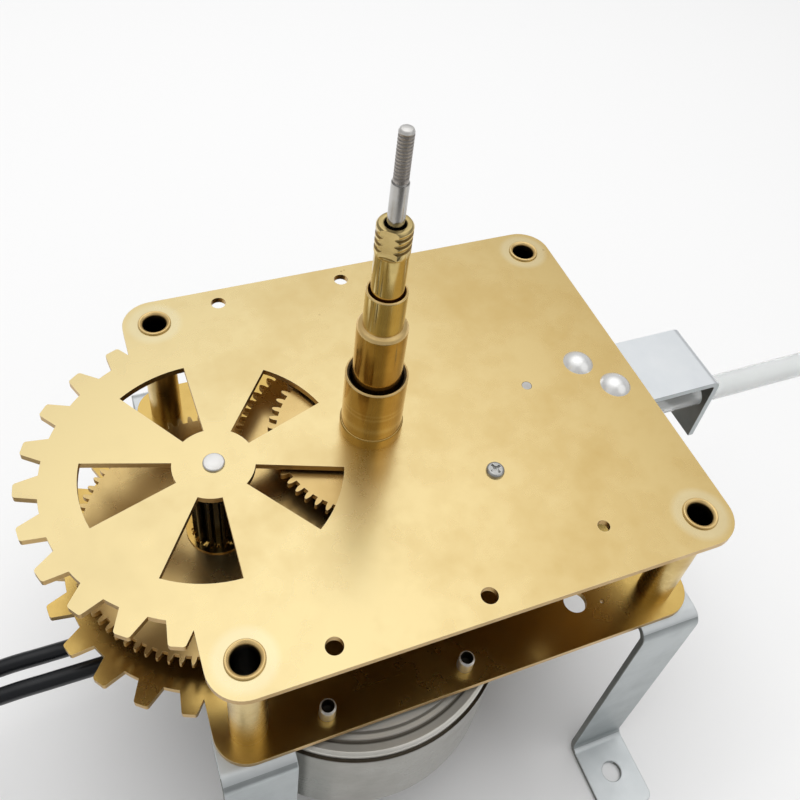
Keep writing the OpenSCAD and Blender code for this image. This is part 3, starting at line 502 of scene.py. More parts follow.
oliveLook = dict(turnedLook, bright=(0.69, 0.53, 0.21), dull=(0.46, 0.32, 0.10))
pillarLook = dict(turnedLook, bright=(0.76, 0.58, 0.25), dull=(0.54, 0.36, 0.12), roughness=(0.24, 0.36))
litRimLook = dict(turnedLook, bright=(0.94, 0.68, 0.30), dull=(0.80, 0.52, 0.19), roughness=(0.26, 0.4))
threadLook = dict(turnedLook, bright=(0.80, 0.63, 0.29), dull=(0.58, 0.42, 0.16), roughness=(0.18, 0.3))
# The groove faces of the thread: a dark brass that paints shade
grooveShadeLook = dict(turnedLook, bright=(0.30, 0.19, 0.06), dull=(0.17, 0.10, 0.03), edge=(0.6, 0.44, 0.2),
                  roughness=(0.3, 0.4))
# Inside the pillars' bores: near-black painted shade
boreShadeLook = dict(turnedLook, bright=(0.05, 0.035, 0.014), dull=(0.03, 0.02, 0.008), edge=(0.5, 0.38, 0.2),
                band=(0.55, 0.41, 0.20), roughness=(0.3, 0.45))

steelLook = {
    "bright": (0.66, 0.65, 0.635),
    "dull": (0.46, 0.44, 0.41),
    "edge": (0.86, 0.85, 0.83),
    "band": (0.14, 0.115, 0.075),
    "roughness": (0.16, 0.30),
}
shaftLook = dict(steelLook, bright=(0.57, 0.56, 0.545), dull=(0.39, 0.37, 0.34))
studLook = dict(steelLook, bright=(0.84, 0.82, 0.79), dull=(0.56, 0.53, 0.48), roughness=(0.26, 0.4))
litHubLook = dict(steelLook, bright=(0.88, 0.87, 0.85), dull=(0.62, 0.60, 0.56), roughness=(0.3, 0.45))
screwLook = dict(steelLook, bright=(0.62, 0.62, 0.60), dull=(0.42, 0.42, 0.40))
threadSteelLook = dict(steelLook, bright=(0.47, 0.44, 0.41), dull=(0.31, 0.28, 0.255),
                       roughness=(0.3, 0.42))
tipLook = dict(steelLook, bright=(0.90, 0.89, 0.87), dull=(0.70, 0.68, 0.64), roughness=(0.3, 0.42))
darkLook = dict(steelLook, bright=(0.10, 0.10, 0.105), dull=(0.045, 0.043, 0.042), edge=(0.36, 0.35, 0.34),
                roughness=(0.16, 0.32))
motorLook = dict(steelLook, bright=(0.375, 0.365, 0.33), dull=(0.305, 0.295, 0.26), edge=(0.66, 0.64, 0.60),
                 band=(0.09, 0.075, 0.055), roughness=(0.26, 0.38))
coverLook = dict(motorLook, bright=(0.80, 0.78, 0.715), dull=(0.68, 0.65, 0.575), roughness=(0.32, 0.46))
chromeLook = dict(steelLook, bright=(0.97, 0.97, 0.96), dull=(0.90, 0.90, 0.89), edge=(0.97, 0.97, 0.96),
                  roughness=(0.20, 0.30))

zinc = {"clean": (0.95, 0.98, 1.0), "dull": (0.87, 0.91, 0.94), "edge": (0.98, 0.99, 1.0)}
# Copies of the zinc with painted light and shade: darker for sides, paler for tops, darkest for shaded faces
shadedSideZinc = {"clean": (0.50, 0.535, 0.54), "dull": (0.40, 0.43, 0.435), "edge": (0.88, 0.90, 0.91)}
litTopZinc = {"clean": (0.80, 0.835, 0.845), "dull": (0.68, 0.72, 0.73), "edge": (0.93, 0.95, 0.96)}
deepShadeZinc = {"clean": (0.20, 0.205, 0.19), "dull": (0.14, 0.145, 0.135), "edge": (0.70, 0.72, 0.72)}


def makeZinc(name, look):
    material, tree, shader = newMaterial(name, Metallic=0.8)
    patina = useGroup(tree, patinaGroup, Scale=0.8, Scratch=0.7)
    grain = useGroup(tree, grainGroup, Fineness=0.8)["Grain"]
    edges = useGroup(tree, edgeGroup, Width=0.0004)["Edges"]
    colour = mixColour(tree, patina["Stains"], look["clean"], look["dull"])
    # Pale edges: partly wear, partly painted highlight
    colour = mixColour(tree, times(tree, edges, 0.7), colour, look["edge"])
    tree.links.new(colour, shader["Base Color"])
    rough = remap(tree, patina["Stains"], 0, 1, 0.34, 0.44)
    tree.links.new(plus(tree, rough, times(tree, grain, 0.06)), shader["Roughness"])
    scored = bump(tree, patina["Scratches"], -0.00002)
    tree.links.new(bump(tree, grain, 0.000003, 0.4, scored), shader["Normal"])
    return material


# Plain moulded or cast surfaces: a mottled colour from light to dark, with a fine skin
def makeMoulded(name, light, dark, roughness, grain, depth, metal=0.0):
    material, tree, shader = newMaterial(name, Metallic=metal)
    where = objectPoint(tree)
    cloud = remap(tree, noise(tree, where, 90, 4, 0.6), 0.35, 0.65)
    skin = noise(tree, where, 1 / grain, 3, 0.6)
    edges = useGroup(tree, edgeGroup, Width=0.0004)["Edges"]
    # Paler edges: partly wear, partly painted highlight
    lifted = tuple(min(1.0, 1.8 * part + 0.03) for part in light)
    colour = mixColour(tree, times(tree, edges, 0.35), mixColour(tree, cloud, light, dark), lifted)
    tree.links.new(colour, shader["Base Color"])
    low, high = roughness
    tree.links.new(remap(tree, plus(tree, cloud, skin), 0.4, 1.6, low, high), shader["Roughness"])
    tree.links.new(bump(tree, skin, depth, 0.7), shader["Normal"])
    return material


# Copper wire wound round the motor's axis, under amber enamel
def makeWinding(name, centre):
    material, tree, shader = newMaterial(name, Metallic=0.9, Coat_Roughness=0.12)
    turning = useGroup(tree, turningGroup, Centre_X=centre[0], Centre_Y=centre[1], Pitch=0.0002)
    strands = remap(tree, turning["Sides"], 0.35, 0.65)
    tree.links.new(mixColour(tree, strands, (0.62, 0.27, 0.10), (0.30, 0.10, 0.035)), shader["Base Color"])
    tree.links.new(remap(tree, strands, 0, 1, 0.22, 0.38), shader["Roughness"])
    tree.links.new(remap(tree, strands, 0, 1, 0.6, 0.3), shader["Coat Weight"])
    tree.links.new(bump(tree, strands, 0.00004, 1.0), shader["Normal"])
    return material


# Clear tubing with a slight haze and the faint lines of its drawing
def makeClear(name):
    material, tree, shader = newMaterial(name, Transmission_Weight=0.7, IOR=1.3)
    where = turned(tree, objectPoint(tree), (0, 0, 0), (4, 260, 260))
    lines = noise(tree, where, 1.0, 2, 0.5)
    haze = remap(tree, noise(tree, objectPoint(tree), 60, 3), 0.3, 0.7, 0.03, 0.06)
    tree.links.new(haze, shader["Roughness"])
    tree.links.new(mixColour(tree, lines, (0.95, 0.96, 0.955), (0.80, 0.815, 0.81)), shader["Base Color"])
    tree.links.new(bump(tree, lines, 0.000002, 0.2), shader["Normal"])
    return material


shaftCentre = (shaftX, 0.0)
lobeCentre = (lobeX, 0.0)
postCentre = tuple(sum(corner[i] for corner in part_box("post_screw")) / 2 for i in (0, 1))
settingCentre = (sum(corner.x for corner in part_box("setting_arbor")) / 2, 0.0)
motorCentre = tuple(sum(corner[i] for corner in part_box("motor_cover")) / 2 for i in (0, 1))
noCentre = (0, 0)  # for pieces that stand in several places

pillarNodes = ("pillar_front_left", "pillar_front_right", "pillar_rear_left", "pillar_rear_right")
pillarCentres = [(sum(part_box(node), Vector()) / 2).xy for node in pillarNodes]
coverTop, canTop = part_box("motor_cover")[1].z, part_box("motor_can")[1].z

# Pale bands round the centre tube, painted light on the upper inside wall of a bore, and painted shade in
# the grooves of the motor's cover and at its can's seam
tubePaleBands = [("Z", plateTop + height * mm, width * mm, 0.45)
             for height, width in ((7.5, 1.6), (12.5, 0.7), (14.2, 0.5))]
boreMouthLight = [("Z", plateTop, 2.6 * mm, 0.95)]
# The dark rings in the cover's grooves and at the can's seam are painted shade
coverGrooveShade = [("R", 38.3 * mm, 0.5 * mm, 0.85), ("R", 40.4 * mm, 0.7 * mm, 0.9),
                ("Z", coverTop - 3.4 * mm, 0.7 * mm, 0.9)]
canSeamShade = [("Z", canTop, 1.1 * mm, 0.95)]

plateBrass = makePlateBrass("plate_brass", brass, rimReflections=pillarCentres)
rearShadedBrass = makePlateBrass("rear_brass_painted_shade", rearShadedBrassLook)
wheelBrass = makePlateBrass("wheel_brass", wheelShadedLook, turn=0.9)
shadedUndersideBrass = makePlateBrass("underside_brass_painted_shade", shadedUndersideLook)
shearedAndShadedBrass = makePlateBrass("sheared_brass_and_painted_shade", shearedAndShadedLook)
shaftBrass = makeTurned("turned_brass_shafts", shaftCentre, turnedLook, rings=tubePaleBands)
oliveBrass = makeTurned("turned_brass_upper", shaftCentre, oliveLook)
pillarBrass = makeTurned("turned_brass_pillars", noCentre, pillarLook)
litRimBrass = makeTurned("turned_brass_rims_painted_light", shaftCentre, litRimLook, metal=0.75)
washerBrass = makeTurned("turned_brass_washer", lobeCentre, turnedLook)
pillarBoreShade = makeTurned("pillar_bores_painted_shade", noCentre, boreShadeLook, rings=boreMouthLight)
shaftSteel = makeTurned("bright_steel_shafts", shaftCentre, shaftLook)
arborSteel = makeTurned("bright_steel_arbor", lobeCentre, steelLook)
postSteel = makeTurned("bright_steel_post", postCentre, steelLook)
settingSteel = makeTurned("bright_steel_setting", settingCentre, steelLook)
motorSteel = makeTurned("bright_steel_motor", motorCentre, steelLook)
studSteel = makeTurned("bright_steel_studs", noCentre, studLook, metal=0.85)
litHubSteel = makeTurned("steel_hub_painted_light", lobeCentre, litHubLook, metal=0.8)
threadSteel = makeTurned("thread_steel", shaftCentre, threadSteelLook, metal=0.9)
tipSteel = makeTurned("bright_steel_tip", shaftCentre, tipLook, metal=0.75)
threadBrass = makeTurned("thread_brass", shaftCentre, threadLook)
grooveShadeBrass = makeTurned("groove_brass_painted_shade", shaftCentre, grooveShadeLook)
coverMetal = makeTurned("cover_metal", motorCentre, coverLook, 0.4 * mm, metal=0.55, rings=coverGrooveShade)
screwSteel = makeTurned("dull_steel_screw", postCentre, screwLook, metal=0.85)
blackSteel = makeTurned("dark_steel", lobeCentre, darkLook, 0.6 * mm)
motorMetal = makeTurned("motor_metal", motorCentre, motorLook, 0.5 * mm, rings=canSeamShade)
chrome = makeTurned("rivet_chrome", noCentre, chromeLook, metal=0.62)
zincPlate = makeZinc("zinc_plate", zinc)
zincShadedSide = makeZinc("zinc_side_painted_shade", shadedSideZinc)
zincLitTop = makeZinc("zinc_top_painted_light", litTopZinc)
zincDeepShade = makeZinc("zinc_deep_painted_shade", deepShadeZinc)
castAlloy = makeMoulded("cast_unit", (0.46, 0.46, 0.455), (0.36, 0.36, 0.355), (0.42, 0.6),
                        0.5 * mm, 0.04 * mm, metal=0.9)
magnetBlack = makeMoulded("magnet", (0.13, 0.13, 0.135), (0.08, 0.08, 0.085), (0.45, 0.65),
                          0.3 * mm, 0.02 * mm, metal=0.3)
winding = makeWinding("coil_copper", motorCentre)
blackPlastic = makeMoulded("black_plastic", (0.028, 0.028, 0.031), (0.017, 0.017, 0.019), (0.38, 0.55),
                           0.4 * mm, 0.03 * mm)
# Dark brown, grey-brown and near-black for the insides of bores: painted shade
boreShadeBrown = makeMoulded("bore_brown_painted_shade", (0.50, 0.25, 0.11), (0.34, 0.15, 0.06), (0.35, 0.5),
                        0.5 * mm, 0.02 * mm, metal=0.5)
boreShadeGrey = makeMoulded("bore_grey_painted_shade", (0.20, 0.155, 0.095), (0.13, 0.10, 0.06), (0.2, 0.35),
                       0.5 * mm, 0.02 * mm, metal=0.5)
boreShadeBlack = makeMoulded("bore_black_painted_shade", (0.020, 0.014, 0.007), (0.010, 0.007, 0.004), (0.4, 0.55),
                        0.5 * mm, 0.02 * mm, metal=0.4)
cableBlack = makeMoulded("cable_black", (0.0075, 0.0085, 0.0105), (0.005, 0.0055, 0.007), (0.26, 0.38),
                         0.6 * mm, 0.008 * mm)
leadBrown = makeMoulded("lead_brown", (0.20, 0.07, 0.03), (0.14, 0.045, 0.02), (0.32, 0.45),
                        0.4 * mm, 0.01 * mm)
leadBlue = makeMoulded("lead_blue", (0.03, 0.09, 0.26), (0.02, 0.06, 0.18), (0.32, 0.45),
                       0.4 * mm, 0.01 * mm)
tinPlate = makeMoulded("lead_ferrules", (0.72, 0.71, 0.69), (0.58, 0.57, 0.55), (0.25, 0.4),
                       0.3 * mm, 0.01 * mm, metal=1.0)
tieNylon = makeMoulded("tie_nylon", (0.022, 0.022, 0.024), (0.014, 0.014, 0.016), (0.35, 0.5),
                       0.5 * mm, 0.02 * mm)
clearTube = makeClear("clear_plastic")
print("materials made")


# Cables: each runs out of its relief and down to the floor, then lies in a tied coil past the view's edge

cable = {
    "diameter": 4.8 * mm,
    "pitch": 5.9 * mm,
    "coilInside": 19.5 * mm,
    "coilOutside": 37.2 * mm,
    "turnsIn": 3,
    "turns": 5.5,
    "straight": 5.8 * mm,
    "stepsPerTurn": 60,
    "bareEnd": 7.0 * mm,
    "tieWidth": 3.0 * mm,
    "tieThickness": 0.6 * mm,
    "tieGap": 0.2 * mm,
    "tieCorner": 2.2 * mm,
}
upperRoute = [
    (-96, -13, 86), (-104, -13, 86), (-113, -13, 86), (-122, -13, 86), (-131.5, -13, 84.2),
    (-140, -13, 79), (-145.5, -13, 72.5), (-148.5, -13, 65), (-151, -13, 56), (-153.5, -13, 46.5),
    (-156, -13, 37), (-158.5, -13, 28.5), (-161.5, -13, 20), (-166, -13, 12.5), (-172, -13, 7),
    (-179, -13, 3.9), (-186, -13, 2.6), (-193, -13, 2.4),
]
lowerRoute = [
    (-96, -21, 86), (-104, -21, 86), (-113, -21, 86), (-121, -21, 86), (-130.5, -21, 84.6),
    (-139.5, -21.3, 80), (-146, -21.7, 73.5), (-150, -22.2, 66), (-153, -22.8, 57), (-155.5, -23.3, 47.5),
    (-158, -23.7, 38), (-160.5, -24, 29), (-164, -24, 20.5), (-169, -24, 13), (-175.5, -24, 7.4),
    (-183, -24, 4), (-190, -24, 2.6), (-197, -24, 2.4),
]


# Points between the listed ones, on a smooth curve through them
def smoothRoute(points, between=4):
    ends = [2 * points[0] - points[1]] + points + [2 * points[-1] - points[-2]]
    route = []
    for i in range(1, len(points)):
        a, b, c, d = ends[i - 1:i + 3]
        for step in range(between):
            t = step / between
            route.append(0.5 * (2 * b + (c - a) * t + (2 * a - 5 * b + 4 * c - d) * t ** 2
                                + (3 * b - a - 3 * c + d) * t ** 3))
    return route + [points[-1]]


# The coil's centreline: in on the floor, a half turn up, and out again on top
def coilRoute(start, hand, shape):
    centre = start + Vector((-shape["straight"], hand * shape["coilOutside"], 0))
    route = []
    steps = int(shape["turns"] * shape["stepsPerTurn"])
    for i in range(steps + 1):
        t = i / shape["stepsPerTurn"]
        out = max(t - shape["turnsIn"] - 0.5, 0)
        if t < shape["turnsIn"]:
            radius = shape["coilOutside"] - shape["pitch"] * t
        else:
            radius = shape["coilInside"] + shape["pitch"] * out
        climb = min(max(2 * (t - shape["turnsIn"]), 0), 1)
        height = shape["diameter"] / 2 + shape["pitch"] * climb * climb * (3 - 2 * climb)
        angle = -hand * math.radians(90 + 360 * t)
        x, y = centre.x + radius * math.cos(angle), centre.y + radius * math.sin(angle)
        route.append(Vector((x, y, height)))
    way = route[-1] - route[-2]
    way.z = 0
    route.append(route[-1] + shape["straight"] * way.normalized())
    return route, centre


def routeLength(route):
    return sum((b - a).length for a, b in zip(route, route[1:]))


def makeCable(name, points, hand, shape):
    run = smoothRoute([Vector(point) * mm for point in points])
    coil, centre = coilRoute(run[-1], hand, shape)
    route = run + coil
    curve = bpy.data.curves.new(name, "CURVE")
    curve.dimensions = "3D"
    spline = curve.splines.new("POLY")
    spline.points.add(len(route) - 1)
    for spot, place in zip(spline.points, route):
        spot.co = (*place, 1)
    spline.use_smooth = True
    curve.bevel_depth = shape["diameter"] / 2
    curve.bevel_resolution = 6
    curve.use_fill_caps = True
    piece = bpy.data.objects.new(name, curve)
    scene.collection.objects.link(piece)
    curve.materials.append(cableBlack)
    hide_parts(name + "_run", name + "_coil")
    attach(piece, bodyOf(name + "_run"))
    return piece, route, centre


# The stripped end: two insulated conductors with crimped metal ends
def makeLeads(name):
    piece = copyNode(name)
    roundEdges(piece, 0.15 * mm)
    low, high = (corner.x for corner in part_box(name))
    bareFrom = high - cable["bareEnd"]
    middle = sum(corner.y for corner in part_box(name)) / 2
    for material in (leadBrown, leadBlue, tinPlate):
        piece.data.materials.append(material)
    for face in piece.data.polygons:
        bare = face.center.x > bareFrom - 0.1 * mm
        face.material_index = 2 if bare else int(face.center.y > middle)
    standFor(piece, name)
    return piece


# A strap round the whole bundle at one side of the coil
def makeTie(name, centre, angle, shape, body):
    inner = shape["coilInside"] - shape["diameter"] / 2 - shape["tieGap"]
    outer = shape["coilOutside"] + shape["diameter"] / 2 + shape["tieGap"]
    height = shape["diameter"] + shape["pitch"] + 0.9 * mm
    bpy.ops.object.select_all(action="DESELECT")
    bpy.ops.mesh.primitive_cube_add(size=1, location=((inner + outer) / 2, 0, height / 2))
    tie = bpy.context.active_object
    tie.name = name
    tie.scale = (outer - inner, shape["tieWidth"], height)
    bpy.ops.object.transform_apply(location=True, rotation=False, scale=True)
    openMesh(tie)
    selectFaces(tie, lambda place, normal: abs(normal.y) > 0.9)
    bpy.ops.mesh.delete(type="FACE")
    selectEdges(tie, lambda a, b: abs(a.y - b.y) > shape["tieWidth"] / 2)
    bpy.ops.mesh.bevel(offset=shape["tieCorner"], segments=6)
    closeMesh()
    addModifier(tie, "SOLIDIFY", thickness=shape["tieThickness"], offset=-1)
    roundEdges(tie, 0.12 * mm)
    tie.rotation_euler.z = angle
    tie.location = (centre.x, centre.y, 0)
    pick(tie)
    bpy.ops.object.transform_apply(location=True, rotation=True, scale=True)
    tie.data.materials.append(tieNylon)
    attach(tie, body)
    return tie


for name, points, hand in (("cable_upper", upperRoute, 1), ("cable_lower", lowerRoute, -1)):
    piece, route, centre = makeCable(name, points, hand, cable)
    body = bodyOf(name + "_run")
    ties = [makeTie(f"{name}_tie_{i}", centre, math.radians(angle), cable, body)
            for i, angle in enumerate((40, 220))]
    makeLeads(name + "_leads")
    print(f"{name}: {routeLength(route):.4f} m")
print("cables laid")


# Plates and wheels, cut from rolled brass sheet

# Top faces get the sheet's brass. Undersides get a very dark brass, which is painted shade, and the sheared
# edges get a darker brass, partly their rough cut finish and partly painted shade
def sheetFace(place, normal):
    return 0 if normal.z > 0.55 else 1 if normal.z < -0.55 else 2


for node, top, edge in (
    ("front_plate", plateBrass, 0.16), ("rear_plate", rearShadedBrass, 0.16),
    ("hour_wheel", wheelBrass, 0.08), ("minute_wheel", wheelBrass, 0.08),
    ("intermediate_wheel", wheelBrass, 0.08), ("motion_wheel", wheelBrass, 0.08),
):
    piece = copyNode(node)
    roundEdges(piece, edge * mm)
    paint(piece, (top, shadedUndersideBrass, shearedAndShadedBrass), sheetFace)
    standFor(piece, node)
print("plates and wheels dressed")


# Turned pieces

# Material, and the rounding of the edges in mm
turnedPieces = {
    "drive_coupling": (shaftBrass, 0.1),
    "motor_bush": (shaftBrass, 0.1),
    "motor_shaft": (shaftSteel, 0.1),
    "minute_pinion": (shaftSteel, 0.06),
    "second_pinion": (blackSteel, 0.06),
    "clutch_washer": (washerBrass, 0.08),
    "intermediate_pinion": (blackSteel, 0.06),
    "motion_post": (postSteel, 0.08),
    "post_screw": (screwSteel, 0.06),
    "motion_pinion": (postSteel, 0.06),
    "setting_arbor": (settingSteel, 0.12),
    "setting_pinion": (settingSteel, 0.06),
    "motor_cover": (coverMetal, 0.08),
    "motor_can": (motorMetal, 0.08),
}
for node, (material, edge) in turnedPieces.items():
    piece = copyNode(node)
    roundEdges(piece, edge * mm)
    paint(piece, (material,))
    standFor(piece, node)

studs = {"radius": 2.3 * mm, "bore": 1.7 * mm}


# 1 for a face inside the bore of one of the four studs, which gets a near-black painted shade
def studFace(place, normal):
    low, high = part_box("motor_studs")
    edge = studs["radius"]
    away = min(math.hypot(place.x - x, place.y - y)
               for x in (low.x + edge, high.x - edge) for y in (low.y + edge, high.y - edge))
    return int(away < studs["bore"])


piece = copyNode("motor_studs")
roundEdges(piece, 0.12 * mm)
paint(piece, (studSteel, boreShadeBlack), studFace)
standFor(piece, "motor_studs")


# Lathe work: outlines of (radius, height) in mm, the heights from the top of the front plate

def fromPlate(outline):
    return [(radius * mm, plateTop + height * mm) for radius, height in outline]


def lathe(name, shape, centre, materials):
    piece = revolve(name, fromPlate(shape["outline"]), centre)
    roundEdges(piece, shape["round"] * mm)
    paint(piece, materials, lambda place, normal: turnedFace(place, normal, shape, centre, len(materials)))
    return piece


# Picks one of up to four materials: 0 for the wall and 1 inside the bore, where the bores' dark materials
# paint shade. Above rimsFrom it is 2 on rims and shoulders that face up, a paler material that paints light
# on them, and 3 on the wall
def turnedFace(place, normal, shape, centre, count):
    if math.hypot(place.x - centre[0], place.y - centre[1]) < shape["bore"] * mm:
        return 1
    if place.z < plateTop + shape["rimsFrom"] * mm:
        return 0
    if normal.z > 0.3 and count > 2:
        return 2
    return 3 if count > 3 else 0


pillar = {
    "outline": [
        (3.6, -46.7), (4.6, -46.7), (4.95, -46.4), (4.95, -46), (4.3, -46), (4.3, -42), (5.0, -42),
        (5.0, -2), (4.3, -2), (4.3, 0), (4.9, 0), (4.95, 0.3), (4.8, 0.6), (4.55, 0.7), (4.25, 0.62),
        (3.8, 0.25), (3.6, -0.2),
    ],
    "bore": 3.62,
    "rimsFrom": 0,
    "round": 0.05,
}
firstPillar = lathe("pillar_finished", pillar, noCentre, (pillarBrass, pillarBoreShade, litRimBrass))
for node, centre in zip(pillarNodes, pillarCentres):
    piece = firstPillar.copy()
    piece.data = firstPillar.data.copy()
    piece.name = node + "_finished"
    scene.collection.objects.link(piece)
    piece.location = (*centre, 0)
    pick(piece)
    bpy.ops.object.transform_apply(location=True, rotation=True, scale=True)
    standFor(piece, node)
bpy.data.objects.remove(firstPillar)

centreTube = {
    "outline": [
        (6.75, -2.6), (8.45, -2.6), (8.45, 0), (8.95, 0), (8.95, 3.4), (8.75, 3.8), (8.55, 3.8),
        (8.55, 22.6), (8.2, 23), (8.05, 23), (7.45, 22.3), (7.45, 8), (6.75, 7.4),
    ],
    "bore": 8,
    "rimsFrom": 20,
    "round": 0.12,
}
hourTube = {
    "outline": [
        (4.05, -5.4), (6.7, -5.4), (6.7, 41.1), (6.2, 41.9), (5.3, 42.3), (5.3, 53.8), (5.05, 54.1),
        (4.8, 54.1), (4.65, 53.9), (4.65, 0), (4.05, -0.5),
    ],
    "bore": 4.7,
    "rimsFrom": 41,
    "round": 0.12,
}
intermediateArbor = {
    "outline": [(0, -44.5), (2.7, -44.5), (3, -44.2), (3, 0.4), (2.7, 0.7), (0, 0.7)],
    "bore": 0,
    "rimsFrom": 0,
    "round": 0.12,
}
for node, shape, centre, materials in (
    ("centre_tube", centreTube, shaftCentre, (shaftBrass, boreShadeGrey, litRimBrass)),
    ("hour_tube", hourTube, shaftCentre, (shaftBrass, boreShadeBrown, litRimBrass, oliveBrass)),
    ("intermediate_arbor", intermediateArbor, lobeCentre, (arborSteel, arborSteel, litHubSteel)),
):
    standFor(lathe(node + "_finished", shape, centre, materials), node)

piece = copyNode("bracket_rivets", tidy=False)
smooth(piece, 50)
paint(piece, (chrome,))
standFor(piece, "bracket_rivets")
print("turned pieces dressed")


# Threads, cut as real helices in place of the frame's plain grooves

secondShaft = {
    "outline": [
        (0, -38.2), (1.9, -38.2), (1.9, 75.4), (2.1, 75.4), (2.1, 86.75), (1.85, 87.05), (1.78, 87.1),
        (1.8, 87.4), (1.8, 99.9), (1.5, 100.5), (1.15, 100.7), (0, 100.7),
    ],
    "bore": 0,
    "round": 0.1,
    "threadFrom": 87.1,
    "tipFrom": 99.95,
    "groove": {"from": 87.9, "turns": 13, "pitch": 0.9, "width": 0.9, "root": 1.58, "open": 2.05},
}
minuteTube = {
    "outline": [
        (1.95, -14), (4.0, -14), (4.0, 54.3), (4.2, 54.3), (4.2, 66.6), (4.4, 66.9), (4.4, 74.6),
        (3.95, 75.2), (2.8, 75.2), (2.55, 74.95), (2.55, 0), (1.95, -0.5),
    ],
    "bore": 2.6,
    "round": 0.12,
    "threadFrom": 66.8,
    "tipFrom": 74.4,
    "groove": {"from": 67.8, "turns": 3, "pitch": 2.0, "width": 1.75, "root": 3.98, "open": 4.7},
    "flats": {"from": 66.95, "apart": 7.5, "turn": -130, "depth": 6, "width": 12, "height": 12},
}


# A closed helix of four-sided section, wider at its open side
def makeGroove(name, groove):
    half, low = groove["width"] / 2, groove["from"]
    section = [
        (groove["root"], low - 0.2 * half), (groove["open"], low - half),
        (groove["open"], low + half), (groove["root"], low + 0.2 * half),
    ]
    return revolve(name, fromPlate(section), shaftCentre, rise=groove["pitch"] * mm, turns=groove["turns"])


# Blocks that take the two flats off a tube
def makeFlats(flats):
    away = (flats["apart"] + flats["depth"]) / 2 * mm
    size = [flats[side] * mm for side in ("depth", "width", "height")]
    blocks = []
    for side in (0, 180):
        angle = math.radians(flats["turn"] + side)
        place = (shaftX + away * math.cos(angle), away * math.sin(angle),
                 plateTop + (flats["from"] + flats["height"] / 2) * mm)
        bpy.ops.object.select_all(action="DESELECT")
        bpy.ops.mesh.primitive_cube_add(size=1, location=place, rotation=(0, 0, angle), scale=size)
        blocks.append(bpy.context.active_object)
    return blocks


# The flats are cut out of the turned blank first, then the groove
def makeThreaded(node, shape, materials):
    blank = revolve(node + "_finished", fromPlate(shape["outline"]), shaftCentre)
    roundEdges(blank, shape["round"] * mm)
    groove = makeGroove(node + "_groove", shape["groove"])
    flats = makeFlats(shape["flats"]) if "flats" in shape else []
    for cutter in (*flats, groove):
        addModifier(blank, "BOOLEAN", operation="DIFFERENCE", solver="EXACT", object=cutter)
        bpy.data.objects.remove(cutter)
    smooth(blank, 30)
    paint(blank, materials, lambda place, normal: threadedFace(place, normal, shape))
    standFor(blank, node)


# 0 for the plain wall, 1 inside the bore, 2 on the thread, 3 on the tip and 4 in the groove. On the minute
# tube the bore and the groove get dark materials that paint shade
def threadedFace(place, normal, shape):
    height = (place.z - plateTop) / mm
    if math.hypot(place.x - shaftX, place.y) < shape["bore"] * mm:
        return 1
    if shape["tipFrom"] > height > shape["threadFrom"] + 0.4 and abs(normal.z) > 0.3:
        return 4
    if height > shape["tipFrom"]:
        return 3
    return 2 if height > shape["threadFrom"] else 0


makeThreaded("second_shaft", secondShaft, (shaftSteel, shaftSteel, threadSteel, tipSteel, threadSteel))
makeThreaded("minute_tube", minuteTube, (oliveBrass, boreShadeBlack, threadBrass, threadBrass, grooveShadeBrass))
print("threads cut")


# Bent sheet steel

# Painted light and shade: tops get a paler zinc, the sides that face -X the darkest, and the other sides a
# darker zinc
def legFace(place, normal):
    if normal.z > 0.7:
        return 1
    return 2 if normal.x < -0.7 else 0


# Painted shade: the inside of the bend, facing -X or down, gets the darkest zinc and the faces toward -Y a
# darker one; the outside keeps the brightest zinc
def bracketFace(place, normal):
    if normal.x < -0.5 or normal.z < -0.5:
        return 1
    return 2 if normal.y < -0.5 else 0


for node in ("leg_front_left", "leg_front_right", "leg_rear_left", "leg_rear_right"):
    piece = copyNode(node)
    roundEdges(piece, 0.35 * mm, 3, sharp=35)
    paint(piece, (zincShadedSide, zincLitTop, zincDeepShade), legFace)
    standFor(piece, node)

piece = copyNode("tube_bracket")
roundEdges(piece, 0.35 * mm, 3, sharp=35)
paint(piece, (zincPlate, zincDeepShade, zincShadedSide), bracketFace)
standFor(piece, "tube_bracket")
print("legs and bracket dressed")


# Plastic pieces

for node, material, edge in (("cable_block", blackPlastic, 0.6), ("cable_reliefs", blackPlastic, 0.12)):
    piece = copyNode(node)
    roundEdges(piece, edge * mm, 3)
    piece.data.materials.append(material)
    standFor(piece, node)

low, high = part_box("clear_sleeve")
outer, bore, length = (high.z - low.z) / 2, 2.8 * mm, high.x - low.x
piece = revolve("clear_sleeve_finished", [(bore, 0), (outer, 0), (outer, length), (bore, length)], (0, 0))
roundEdges(piece, 0.3 * mm, 3)
piece.rotation_euler.y = math.radians(90)
piece.location = (low.x, (low.y + high.y) / 2, (low.z + high.z) / 2)
pick(piece)
bpy.ops.object.transform_apply(location=True, rotation=True, scale=True)
piece.data.materials.append(clearTube)
standFor(piece, "clear_sleeve")
print("plastic pieces dressed")


# Pieces inside the motor keep their CAD meshes

for node, material in {
    "motor_gear_unit": castAlloy,
    "motor_stator": motorSteel,
    "motor_coil": winding,
    "motor_rotor": magnetBlack,
    "rotor_shaft": motorSteel,
    "coupling_screw": blackSteel,
}.items():
    nodes[node].data.materials.clear()
    nodes[node].data.materials.append(material)
print("inside of the motor finished")


# Floor, world and lights

